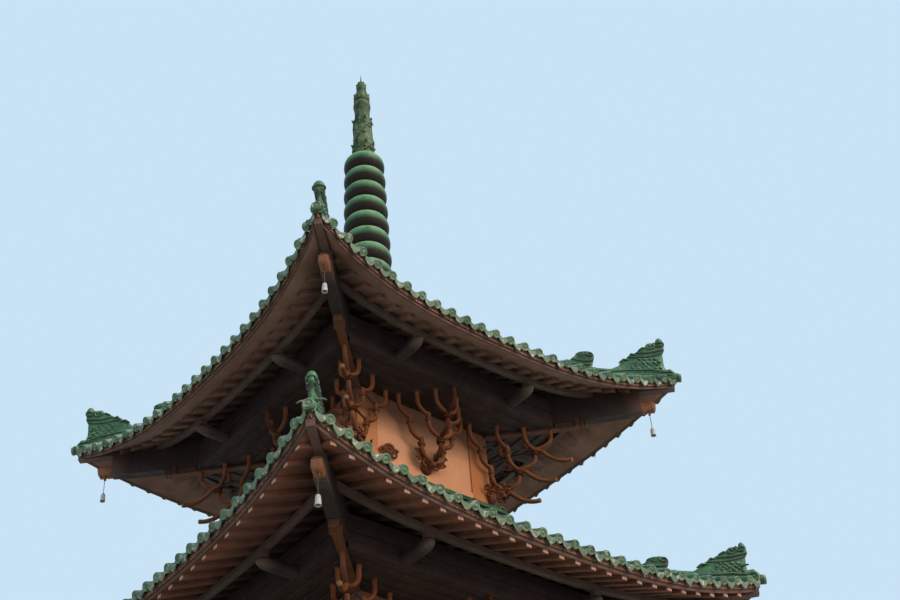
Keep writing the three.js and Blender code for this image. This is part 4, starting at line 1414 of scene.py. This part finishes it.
RIDGE_TILE_LONG = 0.34
RIDGE_INSET = 0.1
SPIRE_COLLAR_WIDE = 0.09
SPIRE_COLLAR_TALL = 0.2
LEDGE_TILE_LONG = 0.27
LEDGE_TILE_LEVEL = 0.325
SCALLOP_TURN = 26
SCALE_PITCH = 0.055
SCALE_ROW_PITCH = 0.052
SCALE_RADIUS = 0.03
SCALE_JITTER = 0.008
LOWER_DRAGON = 0.79
HEAD_HALF_DEEP = 0.066
HEAD_HALF_WIDE = 0.082
HEAD_DOME_TALL = 0.115
RIDGE_SECTION = [  # across the hip, height
    (-0.058, -0.05), (-0.058, 0.045), (-0.075, 0.05), (-0.075, 0.062), (-0.045, 0.066), (-0.045, 0.1),
    (-0.064, 0.105), (-0.064, 0.117), (-0.05, 0.12), (-0.047, 0.145), (-0.034, 0.168), (-0.014, 0.182),
    (0.014, 0.182), (0.034, 0.168), (0.047, 0.145), (0.05, 0.12), (0.064, 0.117), (0.064, 0.105),
    (0.045, 0.1), (0.045, 0.066), (0.075, 0.062), (0.075, 0.05), (0.058, 0.045), (0.058, -0.05),
]
RIDGE_STATIONS = [  # share of a ridge tile's length, swell
    (0, 0.9), (0, 1.06), (0.1, 1.06), (0.11, 1.0), (0.55, 0.99), (1.04, 0.98),
]
DRAGON_LEVELS = [  # height, near and far distance from the roof corner, half thickness
    (0.02, 0.10, 0.86, 0.07), (0.11, 0.10, 0.81, 0.062), (0.19, 0.14, 0.68, 0.055),
    (0.25, 0.158, 0.62, 0.052), (0.319, 0.158, 0.57, 0.05), (0.40, 0.155, 0.52, 0.048),
    (0.476, 0.153, 0.47, 0.048), (0.53, 0.135, 0.40, 0.05), (0.562, 0.125, 0.367, 0.052),
    (0.62, 0.125, 0.325, 0.052), (0.66, 0.135, 0.29, 0.048), (0.69, 0.15, 0.27, 0.035),
]
SMALL_LEVELS = [
    (0.02, 0.86, 1.2, 0.055), (0.12, 0.875, 1.2, 0.05), (0.2, 0.885, 1.16, 0.045),
    (0.28, 0.875, 1.1, 0.045), (0.34, 0.86, 1.06, 0.05), (0.4, 0.852, 1.035, 0.056),
    (0.44, 0.852, 1.0, 0.056), (0.465, 0.865, 0.95, 0.045), (0.482, 0.88, 0.91, 0.02),
]
DRAGON_CURLS = [  # inset, height, size, thickness, distance off the hip, turns, start angle, way round
    (0.178, 0.64, 0.05, 0.017, 0.05, 1.3, 0.6, -1),
    (0.272, 0.6, 0.052, 0.019, 0.046, 1.2, 2.2, 1),
]
SMALL_CURLS = [
    (0.895, 0.415, 0.045, 0.016, 0.048, 1.2, 0.6, -1),
    (0.985, 0.39, 0.038, 0.014, 0.045, 1.1, 2.2, 1),
]
DRAGON_STRIPS = [  # thickness, distance off the hip, (inset, height) points
    (0.026, 0.04, [(0.14, 0.55), (0.22, 0.52), (0.31, 0.49), (0.42, 0.49)]),
    (0.022, 0.04, [(0.17, 0.48), (0.27, 0.43), (0.38, 0.405), (0.50, 0.41)]),
    (0.018, 0.04, [(0.30, 0.56), (0.34, 0.59), (0.39, 0.54)]),
    (0.018, 0.038, [(0.42, 0.45), (0.47, 0.47), (0.50, 0.41)]),
    (0.018, 0.038, [(0.50, 0.36), (0.56, 0.36), (0.61, 0.29)]),
    (0.024, 0.05, [(0.15, 0.13), (0.3, 0.16), (0.5, 0.15), (0.72, 0.12)]),
]
SMALL_STRIPS = [
    (0.018, 0.04, [(0.88, 0.30), (0.96, 0.27), (1.08, 0.28)]),
    (0.018, 0.042, [(0.9, 0.22), (1.0, 0.19), (1.14, 0.19)]),
]
WHISKER = [  # inset, distance off the hip, height
    (0.2, 0.05, 0.23), (0.17, 0.085, 0.22), (0.15, 0.125, 0.2), (0.15, 0.165, 0.175),
]
HEAD_LEVELS = [  # height, share of the head's width, for the chin and the brim under the dome
    (-0.075, 0.6), (-0.06, 0.82), (-0.04, 0.86), (-0.022, 0.8), (-0.012, 1.1), (0.004, 1.12), (0.01, 0.98),
]
TIP_CURL = [  # inset, height
    (0.17, 0.08), (0.145, 0.15), (0.12, 0.158), (0.09, 0.12), (0.07, 0.08),
]
RING_SECTION = [  # share of the width, height
    (0.0, -0.05), (1.0, -0.05), (1.0, 0.06), (1.0, 0.075), (0.72, 0.08), (0.72, 0.17),
    (0.95, 0.175), (0.95, 0.2), (0.66, 0.205), (0.66, 0.28), (0.9, 0.285), (0.9, 0.31),
    (0.72, 0.345), (0.45, 0.375), (0.15, 0.385), (0.0, 0.385),
]


def hip_ridge(storey):
    """Built-up ridge along one hip: two tile ledges under a run of half-round tiles with lips."""
    form = Form()
    pieces = int(storey.span * ROOT_TWO / RIDGE_TILE_LONG)
    for number in range(pieces):
        start = RIDGE_INSET + (storey.span - RIDGE_INSET) * number / pieces
        end = RIDGE_INSET + (storey.span - RIDGE_INSET) * (number + 1) / pieces
        rings = []
        for share, swell in RIDGE_STATIONS:
            inset = min(start + (end - start) * share, storey.span)
            ring = []
            for across, height in RIDGE_SECTION:
                grown = swell if height > 0.11 else 1.0
                ring.append(hip_place(storey, inset, across * grown, height * (1 + (grown - 1) * 0.5)))
            rings.append(ring)
        form.loft(rings)
    return form


def carved_body(storey, form, levels, scallop, tall):
    """Upright body over a hip, one rounded section for each level, with a scalloped crest."""
    rings = []
    for before, after in zip(levels, levels[1:]):
        for part in range(3):
            height, near, far, half = (low + (high - low) * part / 3 for low, high in zip(before, after))
            height *= tall
            far += scallop * abs(math.sin(height * SCALLOP_TURN))
            middle = (near + far) / 2
            wide = (far - near) / 2
            ring = []
            for angle in full_turn(20):
                along, across = squared_round(angle, 0.75)
                ring.append(hip_place(storey, middle - along * wide, across * half, height))
            rings.append(ring)
    form.loft(rings)


def face_strip(storey, form, tall, side, thick, away, points):
    """Raised strip laid on one face of an ornament, through (inset, height) points."""
    path = []
    points = [(inset, height * tall) for inset, height in points]
    for (first, low), (second, high) in zip(points, points[1:]):
        for part in range(4):
            share = part / 4
            height = low + (high - low) * share
            path.append(hip_place(storey, first + (second - first) * share, side * away, height))
    inset, height = points[-1]
    path.append(hip_place(storey, inset, side * away, height))
    last = len(path) - 1
    radii = []
    for index in range(last + 1):
        share = 0.12 + 0.76 * index / last
        radii.append(thick * (0.35 + 0.65 * math.sin(math.pi * share)))
    form.tube(path, radii, 8)


def face_curl(storey, form, tall, side, inset, height, size, thick, away, turns, start, way):
    """Raised curl on one face of an ornament."""
    path = []
    radii = []
    for step in range(23):
        share = step / 22
        angle = start + way * share * turns * 2 * math.pi
        reach = size * (1 - 0.8 * share)
        across = side * (away + 0.006 * share)
        level = height * tall + math.sin(angle) * reach
        path.append(hip_place(storey, inset + math.cos(angle) * reach, across, level))
        radii.append(thick * (1 - 0.35 * share))
    form.tube(path, radii, 8)


def scales(storey, form, tall, side):
    """Rows of uneven scales on one face of a dragon."""
    for row in range(4):
        height = (0.21 + row * SCALE_ROW_PITCH) * tall
        first = 0.2 + (row % 2) * 0.026
        last = 0.56 - row * 0.035
        for number in range(int((last - 0.2) / SCALE_PITCH)):
            inset = first + number * SCALE_PITCH + chance.uniform(-SCALE_JITTER, SCALE_JITTER)
            level = height + chance.uniform(-SCALE_JITTER, SCALE_JITTER)
            place = hip_place(storey, inset, side * 0.042, level)
            wide = SCALE_RADIUS * chance.uniform(0.7, 1.1)
            outline = [(wide, 0.0), (wide, 0.006), (wide * 0.8, 0.012), (0.012, 0.016), (0.002, 0.017)]
            form.turned(place, on_hip(0.25, side * 1.0, 0.35), outline, 8)


def domed_head(storey, form, inset, height):
    """Round head on an ornament, wider across the hip than along it, over a brim and a chin."""
    base = hip_place(storey, inset, 0, height)
    size = 1.0 if storey.on_top else 0.76
    levels = list(HEAD_LEVELS)
    for angle in (0.3, 0.6, 0.9, 1.15, 1.4, 1.54):
        levels.append((HEAD_DOME_TALL * math.sin(angle), 0.98 * math.cos(angle)))
    rings = []
    for rise, swell in levels:
        ring = []
        for angle in full_turn(20):
            along = math.cos(angle) * HEAD_HALF_DEEP * swell
            across = math.sin(angle) * HEAD_HALF_WIDE * swell
            ring.append(base + Vector(on_hip(along, across, rise)) * size)
        rings.append(ring)
    form.loft(rings)


def corner_ornament(storey, tall):
    """Fish-tailed dragon at the foot of a hip: scaled body, swept bands, two curls and a domed head."""
    form = Form()
    whiskers = Form()
    carved_body(storey, form, DRAGON_LEVELS, 0.02, tall)
    for side in (-1, 1):
        for curl in DRAGON_CURLS:
            face_curl(storey, form, tall, side, *curl)
        for strip in DRAGON_STRIPS:
            face_strip(storey, form, tall, side, *strip)
        scales(storey, form, tall, side)
        if not storey.on_top:
            path = [hip_place(storey, inset, side * away, height) for inset, away, height in WHISKER]
            whiskers.tube(path, [0.016, 0.014, 0.011, 0.004], 8)
    domed_head(storey, form, 0.165, 0.665 * tall)
    return form, whiskers


def small_ornament(storey):
    form = Form()
    carved_body(storey, form, SMALL_LEVELS, 0.012, storey.fin_tall)
    for side in (-1, 1):
        for curl in SMALL_CURLS:
            face_curl(storey, form, storey.fin_tall, side, *curl)
        for strip in SMALL_STRIPS:
            face_strip(storey, form, storey.fin_tall, side, *strip)
    return form


def tip_tile(storey, form, caps):
    """Curled tile and round cap at the very end of a hip."""
    out = 0.045 if storey.number == 1 else 0.0
    curl = [hip_place(storey, inset, 0, height) for inset, height in TIP_CURL]
    form.tube(curl, [0.055, 0.04, 0.036, 0.038, 0.036], 12)
    end = hip_place(storey, 0.02 + out, 0, 0.03)
    back = hip_place(storey, 0.14 + out, 0, 0.02)
    form.tube([end, back], [0.06, 0.056], 14)
    along = (back - end).normalized()
    side = Vector(on_hip(0, 1, 0))
    up = along.cross(side).normalized()
    rings = [circle(end - along * height, side, up, radius * 1.02, 16) for radius, height in CAP_OUTLINE]
    caps.loft(rings, end_cap=False)


def ledge_tiles(half, wide, level):
    """Run of half-round tiles along one side of the ridge at a storey's foot."""
    form = Form()
    long = 2 * (half + wide)
    count = int(long / LEDGE_TILE_LONG)
    middle = -half - wide * 0.45
    for number in range(count):
        x0 = -half - wide * 0.8 + (long - 0.4 * wide) * number / count
        x1 = x0 + long / count + 0.01
        rings = []
        for x, radius in ((x0, 0.05), (x0, 0.068), (x0 + 0.03, 0.068), (x0 + 0.032, 0.061), (x1, 0.058)):
            ring = []
            for step in range(9):
                angle = math.pi * step / 8
                ring.append((x, middle - math.cos(angle) * radius, level + math.sin(angle) * radius))
            rings.append(ring)
        form.loft(rings, wrap=False)
    return form


def ring_ridge(storey):
    """Tile ridge round the foot of the storey above, or the collar under the spire."""
    form = Form()
    wide = SPIRE_COLLAR_WIDE if storey.on_top else RING_RIDGE_WIDE
    scale = SPIRE_COLLAR_TALL / RING_RIDGE_TALL if storey.on_top else 1.0
    seat = storey.eave + BED_TOP + storey.roof_rise
    half = storey.roof_half
    rings = []
    for quarter in (0, 1, 2, 3, 0):
        ring = []
        for share, height in RING_SECTION:
            out = half + wide * share
            level = height * scale if height > 0 else height
            ring.append(turn((out, -out, seat + level), quarter))
        rings.append(ring)
    form.loft(rings, start_cap=False, end_cap=False)
    if not storey.on_top:
        form.merge(ledge_tiles(half, wide, seat + LEDGE_TILE_LEVEL).around())
    return form


def ridges(storey):
    """Hip ridges with their ornaments. The top roof's front left ornament is lower, as in the photograph."""
    number = storey.number
    form = hip_ridge(storey)
    caps = Form()
    form.merge(small_ornament(storey))
    tip_tile(storey, form, caps)
    whole = form.around()
    whiskers = Form()
    for quarter in range(4):
        lower = LOWER_DRAGON if storey.on_top and quarter == 3 else 1.0
        dragon, pair = corner_ornament(storey, storey.fin_tall * lower)
        whole.merge(dragon, quarter)
        whiskers.merge(pair, quarter)
    whole.merge(ring_ridge(storey))
    piece = whole.make(f"hip_ridges_{number}", GLAZE_RIDGE, "glaze", sharp=45)
    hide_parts(f"ridges_{number}")
    caps.around().make(f"tip_caps_{number}", GLAZE_CAP, "glaze", sharp=60)
    if not storey.on_top:
        whiskers.make(f"whiskers_{number}", GLAZE_DRIP, "glaze", sharp=60)


# Spire

STACK_FOOT = LOWEST_RING - RING_PITCH / 2
ROOF_TOP = BED_TOP + STOREYS[2].roof_rise
SHAFT_OUTLINE = [
    (0.05, 5.75), (0.172, 5.76), (0.178, 5.80), (0.172, 5.9), (0.176, 5.98), (0.192, 6.04), (0.186, 6.07),
    (0.176, 6.12), (0.172, 6.25), (0.168, 6.4), (0.158, 6.54), (0.152, 6.62), (0.158, 6.67), (0.148, 6.70),
    (0.135, 6.745), (0.131, 6.86), (0.134, 6.95), (0.146, 7.03), (0.152, 7.06), (0.15, 7.10), (0.143, 7.155),
    (0.132, 7.165), (0.132, 7.178), (0.14, 7.188), (0.138, 7.25), (0.132, 7.32), (0.128, 7.36),
    (0.118, 7.378), (0.06, 7.38),
]
CROWN_OUTLINE = [
    (0.04, 7.38), (0.078, 7.385), (0.074, 7.45), (0.08, 7.5), (0.088, 7.55), (0.09, 7.6), (0.086, 7.63),
    (0.082, 7.655), (0.05, 7.66), (0.034, 7.685), (0.026, 7.72), (0.018, 7.77), (0.011, 7.79), (0.008, 7.85),
    (0.003, 7.935),
]
RING_RADIUS = 0.4
RING_TAPER = 0.058
BAND_TURN = 3.6
BAND_FOOT = 5.85
BAND_TALL = 0.95
BAND_NARROWS = 0.03
SHAFT_STUD = [(0.04, 0), (0.042, 0.008), (0.03, 0.02), (0.012, 0.027), (0.002, 0.028)]
CROWN_BUD = [(0.018, 0), (0.024, 0.015), (0.022, 0.04), (0.01, 0.055), (0.002, 0.058)]


def around_axis(angle, radius, height):
    """Point round the tower's axis, by its height over the top eave."""
    return Vector((math.cos(angle) * radius, math.sin(angle) * radius, TOP_EAVE + height))


def lathe(form, outline, sides=48):
    """Turned piece on the tower's axis, by (radius, height over the top eave)."""
    form.turned((0, 0, 0), (0, 0, 1), [(radius, TOP_EAVE + height) for radius, height in outline], sides)


def leaf_collar(form, radius, height, long, out, count, wide):
    """Ring of upright leaves whose tips turn outward."""
    for number in range(count):
        angle = 2 * math.pi * (number + 0.5) / count
        away = Vector((math.cos(angle), math.sin(angle), 0))
        side = Vector((-math.sin(angle), math.cos(angle), 0))
        rings = []
        for step in range(7):
            share = step / 6
            half = side * (wide * math.sqrt(max(0.0, 1 - share ** 2.2)) + 0.003)
            reach = radius + out * share ** 2.4
            thick = 0.016 * (1 - 0.5 * share)
            level = UPWARD * (TOP_EAVE + height + long * share)
            back = away * (reach - 0.02) + level
            middle = away * (reach + thick) + level
            crest = middle + away * thick * 0.5
            rings.append([back + half, middle + half * 0.6, crest, middle - half * 0.6, back - half])
        form.loft(rings)


def ring_stack():
    form = Form()
    outline = [(0.02, STACK_FOOT - RING_SINK)]
    for ring in range(RING_COUNT):
        radius = RING_RADIUS - RING_TAPER * ring / (RING_COUNT - 1)
        middle = STACK_FOOT + RING_PITCH * (ring + 0.5) - RING_SINK + RING_SPREAD * ring
        for step in range(-9, 10):
            share = step / 9
            bulge = (1 - abs(share) ** 2.2) ** 0.62
            outline.append((radius - 0.1 * (1 - bulge), middle + share * (RING_PITCH / 2 - 0.004)))
    top = STACK_FOOT + RING_COUNT * RING_PITCH
    outline += [(0.22, top), (0.02, top)]
    lathe(form, outline, 64)
    piece = form.make("ring_stack", GLAZE_SPIRE, "spire", sharp=60)
    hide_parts("spire_rings")


def band_point(start, share, radius):
    """Point on a band that winds up the shaft, by where it starts and the share of its way."""
    height = BAND_FOOT + share * BAND_TALL
    return around_axis(start + share * BAND_TURN, radius - BAND_NARROWS * share, height)


def carved_shaft():
    """Shaft with three leaf collars and three bands that wind round it, each with a row of studs."""
    form = Form()
    lathe(form, SHAFT_OUTLINE)
    leaf_collar(form, 0.165, 5.93, 0.15, 0.05, 8, 0.055)
    leaf_collar(form, 0.145, 6.56, 0.14, 0.045, 8, 0.048)
    leaf_collar(form, 0.125, 7.26, 0.118, 0.012, 10, 0.03)
    for start in (0.0, 2.1, 4.2):
        shares = [step / 30 for step in range(31)]
        path = [band_point(start, share, 0.178) for share in shares]
        form.tube(path, [0.024 * (1 - 0.35 * share) for share in shares], 8)
        for step in range(5):
            share = 0.1 + step * 0.19
            angle = start + 0.35 + share * BAND_TURN
            place = band_point(start + 0.35, share, 0.172)
            form.turned(place, (math.cos(angle), math.sin(angle), 0.35), SHAFT_STUD, 10)
    piece = form.make("carved_shaft", GLAZE_SHAFT, "spire", sharp=50)
    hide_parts("spire_shaft")


def crown():
    form = Form()
    lathe(form, CROWN_OUTLINE, 32)
    for angle in full_turn(6, 0.4):
        form.turned(around_axis(angle, 0.07, 7.63), (0, 0, 1), CROWN_BUD, 8)
    piece = form.make("crown", GLAZE_SHAFT, "spire", sharp=50)
    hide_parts("spire_crown")


def spire_foot():
    """Squared plug on the roof's top with its three ledges, and the turned bowl under the rings."""
    form = Form()
    plug = STOREYS[2].roof_half - SEAT_GAP
    top = ROOF_TOP + SPIRE_COLLAR_TALL
    form.block((-plug, -plug, TOP_EAVE + ROOF_TOP - 0.2), (plug, plug, TOP_EAVE + top))
    for low, high, out in ((0.0, 0.025, 0.06), (0.025, 0.05, 0.04), (0.05, 0.08, 0.06)):
        half = plug + out
        form.block((-half, -half, TOP_EAVE + top + low), (half, half, TOP_EAVE + top + high))
    lathe(form, [
        (0.02, top + 0.07), (0.3, top + 0.08), (0.318, top + 0.1), (0.322, top + 0.125), (0.32, top + 0.17),
        (0.305, top + 0.21), (0.275, top + 0.25), (0.24, top + 0.285), (0.215, top + 0.32),
        (0.2, STACK_FOOT - 0.02), (0.19, STACK_FOOT), (0.02, STACK_FOOT),
    ])
    leaf_collar(form, 0.268, top + 0.085, 0.15, 0.035, 12, 0.07)
    piece = form.make("spire_foot", GLAZE_SPIRE, "spire", sharp=45)
    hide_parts("spire_base")


# Whole pagoda

WALL_TONES = ((0.62, 0.26, 0.125), (0.78, 0.36, 0.19))
WALL_STAIN = (0.4, 0.19, 0.1)
COLUMN_TONES = ((0.48, 0.16, 0.05), (0.6, 0.23, 0.085))
COLUMN_STAIN = (0.3, 0.12, 0.06)
SILL_TONE = (0.66, 0.29, 0.145)


def paint_rafters(storey):
    """Paint of a storey's rafters, with painted shade inside and paler paint outside as painted light, and
    of their cut ends.
    """
    # weathered holds the paler tones at the edge, which are painted light.
    weathered = ((0.14, 0.052, 0.031), (0.24, 0.097, 0.06))
    # The lower storeys' pale cut ends are paler still, as painted light on ends that sit in the eave's
    # shade.
    end_tones = ((0.6, 0.3, 0.2), (0.78, 0.46, 0.34))
    if storey.on_top:
        weathered = ((0.16, 0.082, 0.058), (0.28, 0.15, 0.11))
        end_tones = ((0.1, 0.055, 0.04), (0.17, 0.1, 0.075))
    storey.rafter_paint = eave_paint(
        "rafters", storey, ((0.03, 0.019, 0.017), (0.06, 0.035, 0.03)), weathered, (0.2, 0.11, 0.08),
        *storey.lit_band,
    )
    storey.rafter_end_paint = painted(
        f"rafter ends {storey.number}", end_tones, (0.14, 0.07, 0.05), 0.62, 9.0, (0.6, 0.8), 0.003,
    )


def paint_node(name, material):
    """Sets the material of a CAD node that the scene keeps as it is."""
    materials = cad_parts[name].data.materials
    materials.clear()
    materials.append(material)


set_camera()
set_light()
make_floor()
plinth_stones()
doorway_carving()
for storey in STOREYS:
    paint_rafters(storey)
    roof_tiles(storey)
    roof_bed(storey)
    rafters(storey)
    eave_pieces(storey)
    bells(storey)
    ridges(storey)
ring_stack()
carved_shaft()
crown()
spire_foot()

for storey in STOREYS:
    wall = wall_plaster("salmon wall plaster", storey, WALL_TONES, WALL_STAIN)
    paint_node(f"wall_{storey.number}", wall)
    sill = SILL_TONE if storey.number > 1 else None
    column = wall_plaster("orange pilaster plaster", storey, COLUMN_TONES, COLUMN_STAIN, sill)
    paint_node(f"pilasters_{storey.number}", column)
paint_node("plinth", STONE)
paint_node("door_surround", BRACKET)
